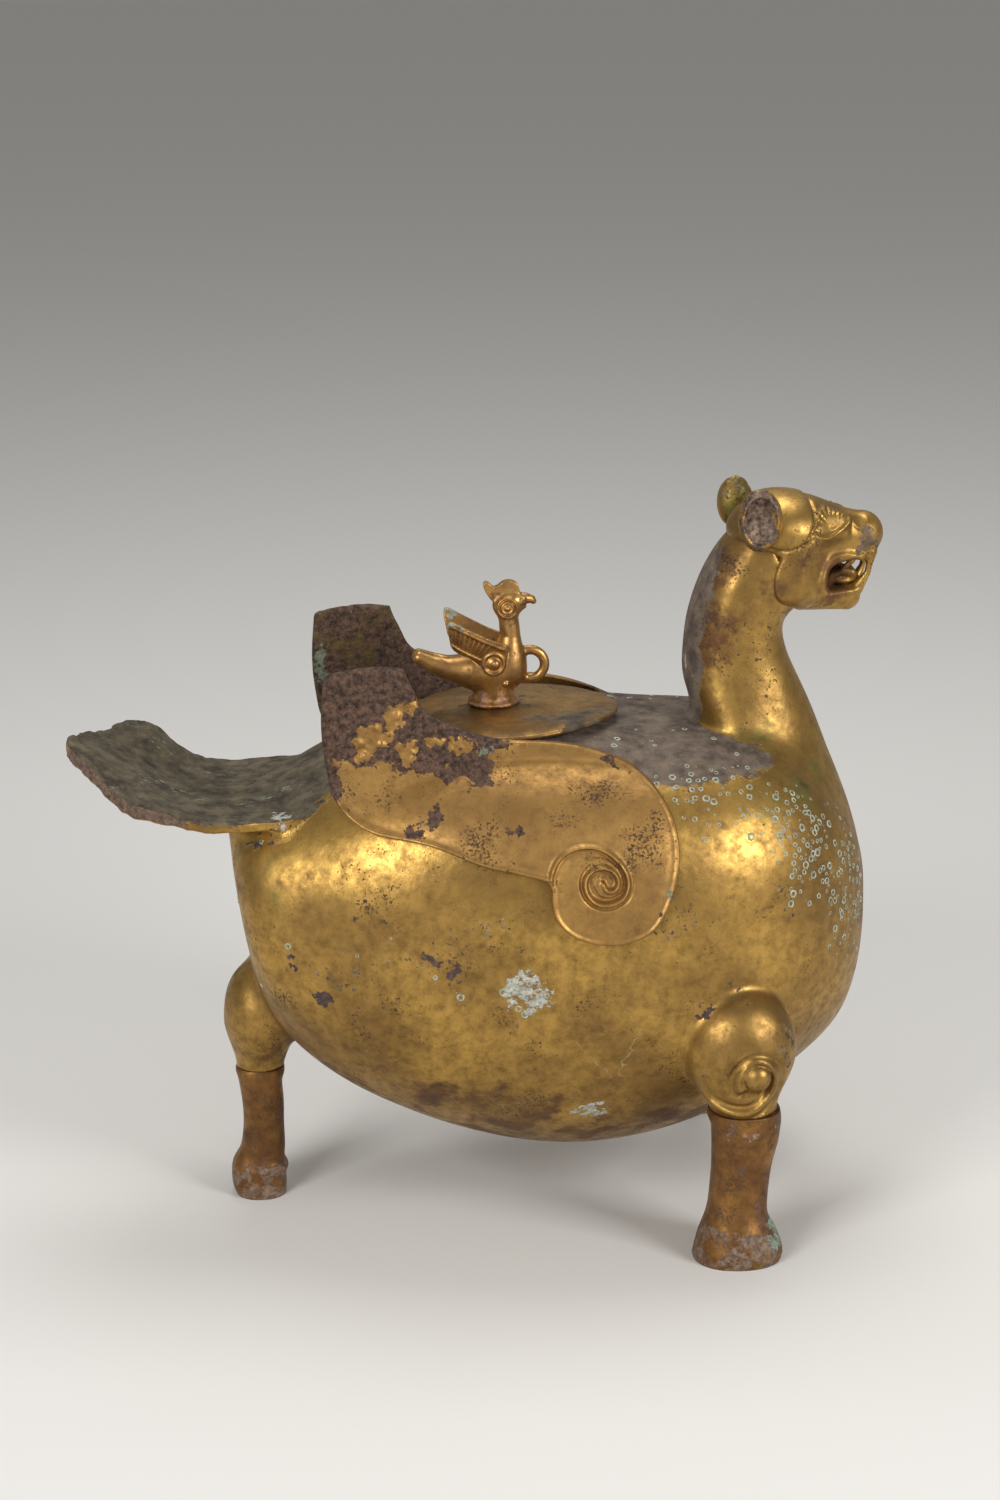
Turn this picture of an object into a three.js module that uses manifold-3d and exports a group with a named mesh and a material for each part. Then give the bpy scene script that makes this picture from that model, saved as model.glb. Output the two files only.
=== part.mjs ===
/**
 * A gilt-bronze drinking vessel in the form of a winged beast on three legs.
 *
 * The beast is hollow: wine goes in through a round mouth in its back and pours out between its jaws.
 * A loose lid closes the back, and a small bird riveted to it is the knob. The belly is one casting,
 * and the neck, head, ears, wings, tail, haunches and legs were cast by themselves and joined to it,
 * so each is a solid of its own here, a hair clear of its seat.
 *
 * Millimetres, +Z up, +X towards the head, +Y to the beast's left. The hoofs stand on Z = 0.
 */
import * as THREE from 'three';
import { mergeVertices } from 'three/addons/utils/BufferGeometryUtils.js';
import Module from 'manifold-3d';

const wasm = await Module();
wasm.setup();

// Fits and walls
const SEAT_GAP = 0.3;
const LID_CLEARANCE = 0.6;
const BRONZE_WALL = 4;

// Belly: its rump stands this far behind the middle, its underside this far off the floor
const BELLY_LENGTH = 304;
const BELLY_HEIGHT = 215;
const BELLY_WIDTH = 200;
const BELLY_CLEARANCE = 29.5;
const RUMP_X = -116;

// Lid, the mouth that it closes and its locating flange
const LID_FROM_RUMP = 135.5;
const LID_RADIUS = 49;
const LID_THICKNESS = 2.4;
const MOUTH_RADIUS = 40;
const FLANGE_WALL = 3;
const FLANGE_DEPTH = 9;

// Neck
const NECK_FROM_CHEST = 87;
const NECK_RISE = 43.5;
const NECK_DEPTH = 50;
const NECK_WIDTH = 47;
const NECK_ROOT_WIDTH = 80;

// Head, with the mouth open right through between the jaws
const HEAD_FROM_NECK = 21;
const HEAD_LENGTH = 72;
const HEAD_HEIGHT = 59.5;
const HEAD_WIDTH = 55;
const JAW_OPENING = 12;
const JAW_OPENING_LENGTH = 18.5;
const NOSE_RADIUS = 9.5;
const BROW_RADIUS = 5;
const EYE_RADIUS = 3.6;
const CHEEK_RADIUS = 13;
const TONGUE_LENGTH = 12;
const TONGUE_THICKNESS = 3;
const EAR_LENGTH = 28;
const EAR_WIDTH = 19;
const EAR_WALL = 2.5;
const LEFT_EAR_SETBACK = 5;

// Wings: a plate on the flank that rises clear of the back as a blade beside the lid
const WING_LENGTH = 162;
const WING_THICKNESS = 4.5;
const WING_RISE = 37;
const WING_FROM_RUMP = 42;
const BLADE_FROM_LID = 10;
const BLADE_SPREAD = 20;
const VOLUTE_DROP = 54;
const VOLUTE_RADIUS = 29.5;
const SPIRAL_RADIUS = 26;
const SPIRAL_TURNS = 1.6;
const SPIRAL_WIRE = 2;

// Tail
const TAIL_LENGTH = 76;
const TAIL_WIDTH = 98;
const TAIL_THICKNESS = 5;
const TAIL_CURL = 27;
const TAIL_DROP = 42;

// Legs: two in front, one behind
const FRONT_LEG_FROM_CHEST = 70.5;
const FRONT_LEG_INSET = 8;
const FRONT_SHANK_RADIUS = 13.4;
const FRONT_HOOF_RADIUS = 21;
const FRONT_COLLAR_Z = 75;
const FRONT_HAUNCH_HEIGHT = 58;
const FRONT_HAUNCH_RADIUS = 23.5;
const REAR_LEG_FROM_RUMP = 12;
const REAR_SHANK_RADIUS = 9.8;
const REAR_HOOF_RADIUS = 13.6;
const REAR_COLLAR_Z = 67;
const REAR_HAUNCH_HEIGHT = 58;
const REAR_HAUNCH_RADIUS = 17.5;
const COLLAR_HEIGHT = 7;
const TENON_RADIUS = 6;
const TENON_LENGTH = 12;
const KNOB_RADIUS = 4.4;
const CURL_RADIUS = 10;
const CURL_WIRE = 1.5;

// Bird knob and its rivet
const BIRD_BEHIND_LID = 10.5;
const BIRD_HEIGHT = 58;
const BIRD_WIDTH = 17;
const BIRD_FOOT_RADIUS = 8.5;
const BIRD_FOOT_WALL = 2;
const BIRD_WING_THICKNESS = 2.4;
const BIRD_WING_SPLAY = 0.4;
const CREST_THICKNESS = 2;
const LOOP_RADIUS = 7;
const LOOP_WIRE = 2.3;
const RIVET_RADIUS = 3;
const RIVET_LENGTH = 6;
const RIVET_HEAD_RADIUS = 7;
const RIVET_HEAD_HEIGHT = 2.5;

// Places that follow from these sizes
const chestX = RUMP_X + BELLY_LENGTH;
const lidX = RUMP_X + LID_FROM_RUMP;
const birdX = lidX - BIRD_BEHIND_LID;
const neckX = chestX - NECK_FROM_CHEST;
const headX = neckX + HEAD_FROM_NECK;
const bellyTop = BELLY_CLEARANCE + BELLY_HEIGHT;
const REACH = 400;

const gilding = new THREE.MeshStandardMaterial({ color: 0xb99558, roughness: 0.5, metalness: 0.9 });
const legBronze = new THREE.MeshStandardMaterial({ color: 0x80583c, roughness: 0.6, metalness: 0.8 });
const lidBronze = new THREE.MeshStandardMaterial({ color: 0x8c7c4c, roughness: 0.55, metalness: 0.85 });

/** A closed solid with the vertices of a geometry. */
function solidOf(geometry) {
  const bare = geometry.clone();
  for (const name of Object.keys(bare.attributes)) {
    if (name !== 'position') bare.deleteAttribute(name);
  }
  const merged = mergeVertices(bare, 1e-4);
  return new wasm.Manifold(new wasm.Mesh({
    numProp: 3,
    vertProperties: new Float32Array(merged.attributes.position.array),
    triVerts: new Uint32Array(merged.index.array),
  }));
}

/** A named mesh of a solid. */
function piece(name, solid, material) {
  const mesh = solid.getMesh();
  const geometry = new THREE.BufferGeometry();
  geometry.setAttribute('position', new THREE.BufferAttribute(mesh.vertProperties, 3));
  geometry.setIndex(new THREE.BufferAttribute(mesh.triVerts, 1));
  geometry.computeVertexNormals();
  const made = new THREE.Mesh(geometry, material);
  made.name = name;
  return made;
}

/** A closed skin through rings of equally many points, with a fan over each end. */
function loftRings(rings) {
  const sides = rings[0].length;
  const points = [...rings.flat(), centreOf(rings[0]), centreOf(rings[rings.length - 1])];
  const index = [];
  const last = (rings.length - 1) * sides;
  for (let side = 0; side < sides; side += 1) {
    const next = (side + 1) % sides;
    for (let start = 0; start < last; start += sides) {
      index.push(start + side, start + next, start + next + sides);
      index.push(start + side, start + next + sides, start + side + sides);
    }
    index.push(points.length - 2, next, side);
    index.push(points.length - 1, last + side, last + next);
  }
  const geometry = new THREE.BufferGeometry().setFromPoints(points);
  geometry.setIndex(index);
  return facingOut(geometry);
}

function centreOf(ring) {
  return ring.reduce((sum, point) => sum.add(point), new THREE.Vector3()).divideScalar(ring.length);
}

/** The geometry with its faces pointing out, whichever way its rings ran. */
function facingOut(geometry) {
  const { position } = geometry.attributes;
  const index = geometry.index.array;
  const corner = [0, 1, 2].map(() => new THREE.Vector3());
  let volume = 0;
  for (let i = 0; i < index.length; i += 3) {
    corner.forEach((point, k) => point.fromBufferAttribute(position, index[i + k]));
    volume += corner[0].dot(corner[1].cross(corner[2]));
  }
  if (volume < 0) {
    for (let i = 0; i < index.length; i += 3) {
      [index[i], index[i + 1]] = [index[i + 1], index[i]];
    }
  }
  return geometry;
}

/** The same skin moved along its normals: out for a gap or a plate, in for a wall. */
function grown(geometry, distance) {
  const moved = geometry.clone();
  moved.computeVertexNormals();
  const { position, normal } = moved.attributes;
  const point = new THREE.Vector3();
  const way = new THREE.Vector3();
  for (let i = 0; i < position.count; i += 1) {
    point.fromBufferAttribute(position, i).addScaledVector(way.fromBufferAttribute(normal, i), distance);
    position.setXYZ(i, point.x, point.y, point.z);
  }
  return moved;
}

/** A squared oval in the plane of two half axes; a power of 2 is an ellipse, and more is squarer. */
function ovalRing(centre, across, up, upperPower, lowerPower, sides) {
  const ring = [];
  for (let side = 0; side < sides; side += 1) {
    const angle = (2 * Math.PI * side) / sides;
    const c = Math.cos(angle);
    const s = Math.sin(angle);
    const bend = 2 / (s >= 0 ? upperPower : lowerPower);
    ring.push(centre.clone()
      .addScaledVector(across, Math.sign(c) * Math.abs(c) ** bend)
      .addScaledVector(up, Math.sign(s) * Math.abs(s) ** bend));
  }
  return ring;
}

/**
 * A skin through stations seen from the side. Each station is the back point's X and Z, the
 * underside point's X and Z, and the half width there.
 */
function profileSkin(stations, { steps, sides, upperPower = 2, lowerPower = 2 }) {
  const columns = [0, 1, 2, 3, 4].map((k) => new THREE.CatmullRomCurve3(
    stations.map((station) => new THREE.Vector3(station[k], 0, 0)),
  ));
  const rings = [];
  for (let step = 0; step <= steps; step += 1) {
    const [backX, backZ, underX, underZ, half] = columns.map((curve) => curve.getPoint(step / steps).x);
    const back = new THREE.Vector3(backX, 0, backZ);
    const under = new THREE.Vector3(underX, 0, underZ);
    const centre = back.clone().add(under).multiplyScalar(0.5);
    const across = new THREE.Vector3(0, half, 0);
    rings.push(ovalRing(centre, across, back.sub(centre), upperPower, lowerPower, sides));
  }
  return loftRings(rings);
}

/** An upright cylinder between two heights. */
function post(radius, low, high, x = 0, y = 0, sides = 40) {
  const geometry = new THREE.CylinderGeometry(radius, radius, high - low, sides);
  geometry.rotateX(Math.PI / 2);
  geometry.translate(x, y, (low + high) / 2);
  return solidOf(geometry);
}

function ellipsoid(radii, centre, sides = 12) {
  const geometry = new THREE.SphereGeometry(1, sides, sides / 2);
  geometry.scale(...radii);
  geometry.translate(...centre);
  return solidOf(geometry);
}

/** A shape drawn in the XZ plane and run along Y from one place to another. */
function runAcross(shape, fromY, toY, curveSegments = 6) {
  const depth = toY - fromY;
  const geometry = new THREE.ExtrudeGeometry(shape, { depth, bevelEnabled: false, curveSegments });
  geometry.rotateX(Math.PI / 2);
  geometry.translate(0, toY, 0);
  return geometry;
}

/** A closed tube along a smooth line of points. */
function tube(points, radius, steps) {
  const section = new THREE.Shape().absarc(0, 0, radius, 0, 2 * Math.PI);
  return solidOf(new THREE.ExtrudeGeometry(section, {
    steps,
    curveSegments: 3,
    extrudePath: new THREE.CatmullRomCurve3(points),
  }));
}

/** Points of a line drawn in the XZ plane, each moved along Y to the outside of a skin. */
function laidOn(skin, line) {
  const face = new THREE.Mesh(skin, new THREE.MeshBasicMaterial({ side: THREE.DoubleSide }));
  const inwards = new THREE.Vector3(0, -1, 0);
  return line.map(({ x, y }) => {
    const ray = new THREE.Raycaster(new THREE.Vector3(x, REACH, y), inwards);
    return ray.intersectObject(face)[0].point;
  });
}

function vectors(pairs) {
  return pairs.map(([a, b]) => new THREE.Vector2(a, b));
}

// Belly: back X and Z, underside X and Z and half width, as shares of its length, height and width
const BELLY_STATIONS = [
  [0.007, 0.663, 0.012, 0.598, 0.14],
  [0.0, 0.728, 0.028, 0.458, 0.42],
  [0.026, 0.798, 0.062, 0.319, 0.6],
  [0.099, 0.858, 0.135, 0.202, 0.73],
  [0.217, 0.942, 0.243, 0.109, 0.88],
  [0.381, 1.0, 0.388, 0.03, 0.97],
  [0.529, 0.998, 0.529, 0.0, 1.0],
  [0.67, 0.979, 0.677, 0.03, 0.99],
  [0.792, 0.965, 0.808, 0.105, 0.9],
  [0.89, 0.905, 0.9, 0.191, 0.73],
  [0.96, 0.788, 0.966, 0.291, 0.5],
  [0.992, 0.681, 0.994, 0.444, 0.26],
  [1.0, 0.607, 1.0, 0.542, 0.06],
].map(([backX, backZ, underX, underZ, half]) => [
  RUMP_X + backX * BELLY_LENGTH,
  BELLY_CLEARANCE + backZ * BELLY_HEIGHT,
  RUMP_X + underX * BELLY_LENGTH,
  BELLY_CLEARANCE + underZ * BELLY_HEIGHT,
  (half * BELLY_WIDTH) / 2,
]);
const bellyForm = { steps: 20, sides: 32, upperPower: 2.9, lowerPower: 2.1 };
const bellySkin = profileSkin(BELLY_STATIONS, bellyForm);
const bellySeat = solidOf(grown(bellySkin, SEAT_GAP));

// Neck: the same columns, as shares of its depth, its rise above the back and its widths
const NECK_STATIONS = [
  [-0.18, -0.53, 1.7, -1.95, 0, 1.15],
  [0.06, -0.11, 1.64, -1.29, 0, 1.0],
  [0.0, 0.3, 1.42, -0.6, 0.65, 0.4],
  [-0.01, 0.71, 1.18, 0.09, 1.08, 0],
  [0.03, 1.06, 1.0, 0.53, 1.0, 0],
  [0.14, 1.45, 0.93, 0.8, 1.0, 0],
  [0.32, 1.82, 0.95, 0.99, 1.02, 0],
  [0.52, 2.09, 1.04, 1.1, 1.02, 0],
].map(([backX, backZ, underX, underZ, upper, root]) => [
  neckX + backX * NECK_DEPTH,
  bellyTop + backZ * NECK_RISE,
  neckX + underX * NECK_DEPTH,
  bellyTop + underZ * NECK_RISE,
  (upper * NECK_WIDTH + root * NECK_ROOT_WIDTH) / 2,
]);
const neckSkin = profileSkin(NECK_STATIONS, { steps: 11, sides: 20, upperPower: 2.2, lowerPower: 2.2 });
const neckBore = solidOf(grown(neckSkin, -BRONZE_WALL));

// Head: the same columns, as shares of its length, height and width
const jawZ = bellyTop + NECK_RISE;
const HEAD_STATIONS = [
  [0.0, 0.563, 0.125, 0.294, 0.44],
  [0.055, 0.8, 0.29, 0.075, 0.84],
  [0.222, 0.98, 0.444, 0.0, 0.98],
  [0.43, 1.0, 0.6, 0.0, 1.0],
  [0.61, 0.93, 0.72, 0.025, 0.91],
  [0.764, 0.83, 0.82, 0.075, 0.74],
  [0.89, 0.77, 0.885, 0.16, 0.56],
  [0.975, 0.69, 0.935, 0.3, 0.4],
  [0.995, 0.6, 0.97, 0.42, 0.2],
].map(([backX, backZ, underX, underZ, half]) => [
  headX + backX * HEAD_LENGTH,
  jawZ + backZ * HEAD_HEIGHT,
  headX + underX * HEAD_LENGTH,
  jawZ + underZ * HEAD_HEIGHT,
  (half * HEAD_WIDTH) / 2,
]);
const headSkin = profileSkin(HEAD_STATIONS, { steps: 13, sides: 22, upperPower: 2.2, lowerPower: 2.3 });
const jawSlotX = headX + 0.735 * HEAD_LENGTH;
const jawSlotZ = jawZ + 0.385 * HEAD_HEIGHT;

/** The hollow belly, open at the mouth in its back and into the neck. */
function belly() {
  const mouth = post(MOUTH_RADIUS, bellyTop - BELLY_HEIGHT / 4, bellyTop + BRONZE_WALL, lidX);
  const liner = profileSkin(BELLY_STATIONS, { ...bellyForm, steps: 12, sides: 20 });
  const inside = solidOf(grown(liner, -BRONZE_WALL));
  return solidOf(bellySkin).subtract(inside).subtract(mouth).subtract(neckBore);
}

function neck() {
  return solidOf(neckSkin).subtract(neckBore).subtract(bellySeat).subtract(headSeat);
}

/** The round-ended slot between the jaws, right through from cheek to cheek. */
function jawSlot() {
  const end = JAW_OPENING / 2;
  const reach = (JAW_OPENING_LENGTH - JAW_OPENING) / 2;
  const shape = new THREE.Shape();
  shape.absarc(jawSlotX - reach, jawSlotZ, end, Math.PI / 2, (3 * Math.PI) / 2);
  shape.absarc(jawSlotX + reach, jawSlotZ, end, -Math.PI / 2, Math.PI / 2);
  return solidOf(runAcross(shape, -HEAD_WIDTH, HEAD_WIDTH));
}

/** The outside of the head, grown by a gap: skull, nose, brows, eyes and cheeks. */
function headForm(gap) {
  const boss = (radii, shareX, shareY, shareZ) => ellipsoid(
    radii.map((radius) => radius + gap),
    [headX + shareX * HEAD_LENGTH, shareY * HEAD_WIDTH, jawZ + shareZ * HEAD_HEIGHT],
  );
  let form = solidOf(grown(headSkin, gap)).add(boss([NOSE_RADIUS, NOSE_RADIUS, NOSE_RADIUS], 0.86, 0, 0.6));
  for (const side of [-1, 1]) {
    form = form
      .add(boss([1.6 * BROW_RADIUS, 0.9 * BROW_RADIUS, BROW_RADIUS], 0.63, side * 0.31, 0.81))
      .add(boss([EYE_RADIUS, EYE_RADIUS, EYE_RADIUS], 0.66, side * 0.38, 0.77))
      .add(boss([CHEEK_RADIUS, 0.46 * CHEEK_RADIUS, 1.08 * CHEEK_RADIUS], 0.42, side * 0.38, 0.3));
  }
  return form;
}
const headSeat = headForm(SEAT_GAP);

/** The hollow head, with its throat open to the jaws and the neck. */
function head() {
  const at = (shareX, y, shareZ) => [headX + shareX * HEAD_LENGTH, y, jawZ + shareZ * HEAD_HEIGHT];
  const throat = ellipsoid([0.32 * HEAD_LENGTH, 0.3 * HEAD_WIDTH, 0.3 * HEAD_HEIGHT], at(0.42, 0, 0.4));
  return headForm(0).subtract(throat).subtract(neckBore).subtract(jawSlot());
}

function tongue() {
  const low = jawSlotZ - JAW_OPENING / 2 + SEAT_GAP;
  const half = TONGUE_THICKNESS / 2;
  return ellipsoid([TONGUE_LENGTH / 2, TONGUE_LENGTH / 3, half], [jawSlotX, 0, low + half]);
}

/** An ear on the right, -1, or the left, 1: a leaf cupped outwards, let into the skull. */
function ear(side) {
  const setback = side > 0 ? LEFT_EAR_SETBACK : 0;
  const x = headX + 0.145 * HEAD_LENGTH - setback;
  const y = side * 0.43 * HEAD_WIDTH;
  const z = jawZ + 0.9 * HEAD_HEIGHT;
  const leaf = ellipsoid([EAR_WIDTH / 2, EAR_WIDTH / 2, EAR_LENGTH / 2], [x, y, z], 14);
  const cup = ellipsoid(
    [EAR_WIDTH / 2 - EAR_WALL, EAR_WIDTH / 2, EAR_LENGTH / 2 - EAR_WALL],
    [x + EAR_WALL / 2, y + (side * EAR_WIDTH) / 3, z],
    14,
  );
  return leaf.subtract(cup).subtract(headSeat);
}

const wingBackX = RUMP_X + WING_FROM_RUMP;
const wingTipZ = bellyTop + WING_RISE;
const bladeY = LID_RADIUS + BLADE_FROM_LID;
const volute = new THREE.Vector2(wingBackX + WING_LENGTH - VOLUTE_RADIUS, bellyTop - VOLUTE_DROP);

/** The wing's outline from the side: blade tip, trailing edge, volute, shoulder and notch. */
function wingOutline() {
  const behind = (share) => volute.x - share * WING_LENGTH;
  const below = (share) => bellyTop - share * VOLUTE_DROP;
  const above = (share) => bellyTop + share * WING_RISE;
  const shape = new THREE.Shape();
  shape.moveTo(behind(0.8), above(0.95));
  shape.splineThru([
    ...vectors([
      [behind(0.81), above(0.2)],
      [behind(0.78), below(0.39)],
      [behind(0.68), below(0.65)],
      [behind(0.52), below(0.72)],
      [behind(0.34), below(0.87)],
    ]),
    new THREE.Vector2(volute.x - VOLUTE_RADIUS, volute.y),
  ]);
  shape.absarc(volute.x, volute.y, VOLUTE_RADIUS, Math.PI, 2 * Math.PI);
  shape.splineThru(vectors([
    [volute.x + 0.97 * VOLUTE_RADIUS, below(0.55)],
    [volute.x + 0.58 * VOLUTE_RADIUS, below(0.26)],
    [behind(0.09), below(0.02)],
    [behind(0.36), above(0.12)],
    [behind(0.48), above(0.35)],
    [behind(0.545), above(0.7)],
    [behind(0.575), above(1)],
  ]));
  shape.lineTo(behind(0.71), above(1.03));
  shape.closePath();
  return shape;
}

/** The upright blade that carries the wing on above the back, as a strip seen from the front. */
function bladeStrip() {
  const outer = new THREE.SplineCurve(vectors([
    [bladeY + BLADE_SPREAD, bellyTop - 0.7 * VOLUTE_DROP],
    [bladeY + 0.55 * BLADE_SPREAD, bellyTop - 0.5 * VOLUTE_DROP],
    [bladeY + 0.175 * BLADE_SPREAD, bellyTop - 0.22 * VOLUTE_DROP],
    [bladeY + 0.05 * BLADE_SPREAD, bellyTop],
    [bladeY - 0.05 * BLADE_SPREAD, wingTipZ + WING_THICKNESS],
  ])).getPoints(8);
  const inner = outer.map((point) => new THREE.Vector2(point.x - WING_THICKNESS, point.y)).reverse();
  const geometry = new THREE.ExtrudeGeometry(new THREE.Shape([...outer, ...inner]), {
    depth: BELLY_LENGTH,
    bevelEnabled: false,
  });
  const run = new THREE.Matrix4().makeBasis(
    new THREE.Vector3(0, 1, 0),
    new THREE.Vector3(0, 0, 1),
    new THREE.Vector3(1, 0, 0),
  ).setPosition(RUMP_X, 0, 0);
  return solidOf(geometry.applyMatrix4(run));
}

/** The ridge that winds into the volute, laid on the wing's outer face. */
function spiralRidge() {
  const count = 24;
  const line = [];
  for (let i = 0; i <= count; i += 1) {
    const turned = (i / count) * SPIRAL_TURNS * 2 * Math.PI;
    const radius = SPIRAL_RADIUS * Math.exp(-0.2 * turned);
    const angle = Math.PI - turned;
    line.push(new THREE.Vector2(volute.x + radius * Math.cos(angle), volute.y + radius * Math.sin(angle)));
  }
  return tube(laidOn(grown(bellySkin, WING_THICKNESS), line), SPIRAL_WIRE, 32);
}

/** A wing: the plate that hugs the flank, the blade above the back and the spiral ridge. */
function wing(side) {
  const cut = solidOf(runAcross(wingOutline(), LID_RADIUS + 2, REACH));
  const plate = solidOf(grown(bellySkin, WING_THICKNESS)).intersect(cut);
  const left = plate.add(bladeStrip().intersect(cut)).add(spiralRidge()).subtract(bellySeat);
  return side < 0 ? left.mirror([0, 1, 0]) : left;
}

/** The tail: a broad leaf in plan, cut from a sheet that curls up behind. */
function tail() {
  const half = TAIL_WIDTH / 2;
  const tipX = RUMP_X - TAIL_LENGTH;
  const rootX = RUMP_X + 0.12 * BELLY_LENGTH;
  const rootZ = bellyTop - TAIL_DROP;
  const leaf = new THREE.Shape();
  leaf.moveTo(rootX, -0.8 * half);
  leaf.splineThru(vectors([
    [RUMP_X - 0.1 * TAIL_LENGTH, -half],
    [RUMP_X - 0.5 * TAIL_LENGTH, -0.98 * half],
    [tipX + 0.18 * TAIL_LENGTH, -0.6 * half],
    [tipX, 0],
    [tipX + 0.18 * TAIL_LENGTH, 0.6 * half],
    [RUMP_X - 0.5 * TAIL_LENGTH, 0.98 * half],
    [RUMP_X - 0.1 * TAIL_LENGTH, half],
    [rootX, 0.8 * half],
  ]));
  leaf.closePath();
  const plan = new THREE.ExtrudeGeometry(leaf, { depth: REACH, bevelEnabled: false, curveSegments: 8 });
  const line = new THREE.SplineCurve(vectors([
    [rootX, rootZ + 2],
    [RUMP_X - 0.1 * TAIL_LENGTH, rootZ],
    [RUMP_X - 0.4 * TAIL_LENGTH, rootZ + 0.22 * TAIL_CURL],
    [RUMP_X - 0.65 * TAIL_LENGTH, rootZ + 0.55 * TAIL_CURL],
    [tipX - 1, rootZ + TAIL_CURL],
  ])).getPoints(12);
  const upper = line.map((point) => new THREE.Vector2(point.x, point.y + TAIL_THICKNESS)).reverse();
  const sheet = runAcross(new THREE.Shape([...line, ...upper]), -TAIL_WIDTH, TAIL_WIDTH);
  return solidOf(plan).intersect(solidOf(sheet)).subtract(bellySeat);
}

/** Level rings on one upright axis, each given as its height, its half depth and its half breadth. */
function standingSkin(x, y, rings, sides) {
  return loftRings(rings.map(([z, depth, breadth]) => ovalRing(
    new THREE.Vector3(x, y, z),
    new THREE.Vector3(0, breadth, 0),
    new THREE.Vector3(depth, 0, 0),
    2,
    2,
    sides,
  )));
}

/** A leg: hoof, shank and collar, with the tenon that enters the haunch. */
function leg({ x, y, shank, hoof, collarZ }) {
  const neckZ = collarZ - COLLAR_HEIGHT;
  const rings = [
    [0, hoof], [0.1 * neckZ, 0.98 * hoof], [0.22 * neckZ, 0.85 * hoof], [0.42 * neckZ, 1.03 * shank],
    [0.61 * neckZ, 0.96 * shank], [0.83 * neckZ, 1.02 * shank], [neckZ, 1.1 * shank],
    [neckZ + 0.35 * COLLAR_HEIGHT, 1.24 * shank], [collarZ, 1.22 * shank],
  ].map(([z, radius]) => [z, radius, radius]);
  const tenon = post(TENON_RADIUS, neckZ, collarZ + TENON_LENGTH, x, y, 20);
  return solidOf(standingSkin(x, y, rings, 20)).add(tenon).subtract(bellySeat);
}

/** A haunch: a round boss on the belly, flat where it meets the leg and socketed for its tenon. */
function haunch({ x, y, shank, collarZ, height, radius, breadth }) {
  const foot = collarZ + SEAT_GAP;
  const rings = [
    [0, 1.22 * shank], [0.1, 0.8 * radius], [0.33, 0.98 * radius], [0.6, radius], [0.82, 0.77 * radius],
    [0.95, 0.4 * radius], [1, 0.1 * radius],
  ].map(([share, half]) => [foot + share * height, half, half * breadth]);
  const skin = standingSkin(x, y, rings, 22);
  const socket = post(TENON_RADIUS + SEAT_GAP, foot - 1, collarZ + TENON_LENGTH + SEAT_GAP, x, y, 20);
  const boss = y === 0 ? solidOf(skin) : curled(skin, x + 0.36 * radius, foot + 0.27 * height, Math.sign(y));
  return boss.subtract(socket).subtract(bellySeat);
}

/** A haunch with a knob on its outer side and the curl cut round the knob. */
function curled(skin, x, z, side) {
  const outer = side < 0 ? skin.clone().scale(1, -1, 1) : skin;
  const curl = [];
  for (let turn = 0.1; turn < 0.8; turn += 0.05) {
    const angle = 2 * Math.PI * turn;
    curl.push(new THREE.Vector2(x + CURL_RADIUS * Math.cos(angle), z + CURL_RADIUS * Math.sin(angle)));
  }
  const [seat] = laidOn(outer, [new THREE.Vector2(x, z)]);
  const groove = tube(laidOn(outer, curl), CURL_WIRE, 16);
  const knob = ellipsoid([KNOB_RADIUS, KNOB_RADIUS, KNOB_RADIUS], [seat.x, side * seat.y, seat.z]);
  return solidOf(skin).subtract(side < 0 ? groove.mirror([0, 1, 0]) : groove).add(knob);
}

const birdFoot = bellyTop + SEAT_GAP + LID_THICKNESS + SEAT_GAP;

/** The lid: a plate that follows the back, and the flange that drops into the mouth. */
function lid() {
  const flangeRadius = MOUTH_RADIUS - LID_CLEARANCE;
  const plate = post(LID_RADIUS, bellyTop - BELLY_HEIGHT / 4, bellyTop + REACH, lidX, 0, 50)
    .intersect(solidOf(grown(bellySkin, SEAT_GAP + LID_THICKNESS)))
    .subtract(bellySeat);
  const flange = post(flangeRadius, bellyTop - FLANGE_DEPTH, bellyTop + REACH, lidX)
    .subtract(post(flangeRadius - FLANGE_WALL, 0, 2 * REACH, lidX))
    .intersect(solidOf(grown(bellySkin, SEAT_GAP + LID_THICKNESS / 2)));
  return plate.add(flange).subtract(post(RIVET_RADIUS + SEAT_GAP, 0, 2 * REACH, birdX, 0, 20));
}

/** A place on the bird's middle plane, in shares of its height, ahead of its foot and above the lid. */
function onBird(ahead, up) {
  return [birdX + ahead * BIRD_HEIGHT, birdFoot + up * BIRD_HEIGHT];
}

/** One of the bird's raised wings. */
function birdWing(side) {
  const root = birdFoot + 0.24 * BIRD_HEIGHT;
  const shape = new THREE.Shape(vectors([
    onBird(-0.38, 0.62), onBird(-0.14, 0.6), onBird(0.09, 0.47), onBird(0.12, 0.33),
    onBird(0.02, 0.21), onBird(-0.14, 0.24), onBird(-0.29, 0.36), onBird(-0.38, 0.48),
  ]));
  const geometry = runAcross(shape, -BIRD_WING_THICKNESS / 2, BIRD_WING_THICKNESS / 2);
  geometry.translate(0, 0, -root);
  geometry.rotateX(-side * BIRD_WING_SPLAY);
  geometry.translate(0, side * 0.36 * BIRD_WIDTH, root);
  return solidOf(geometry);
}

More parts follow.
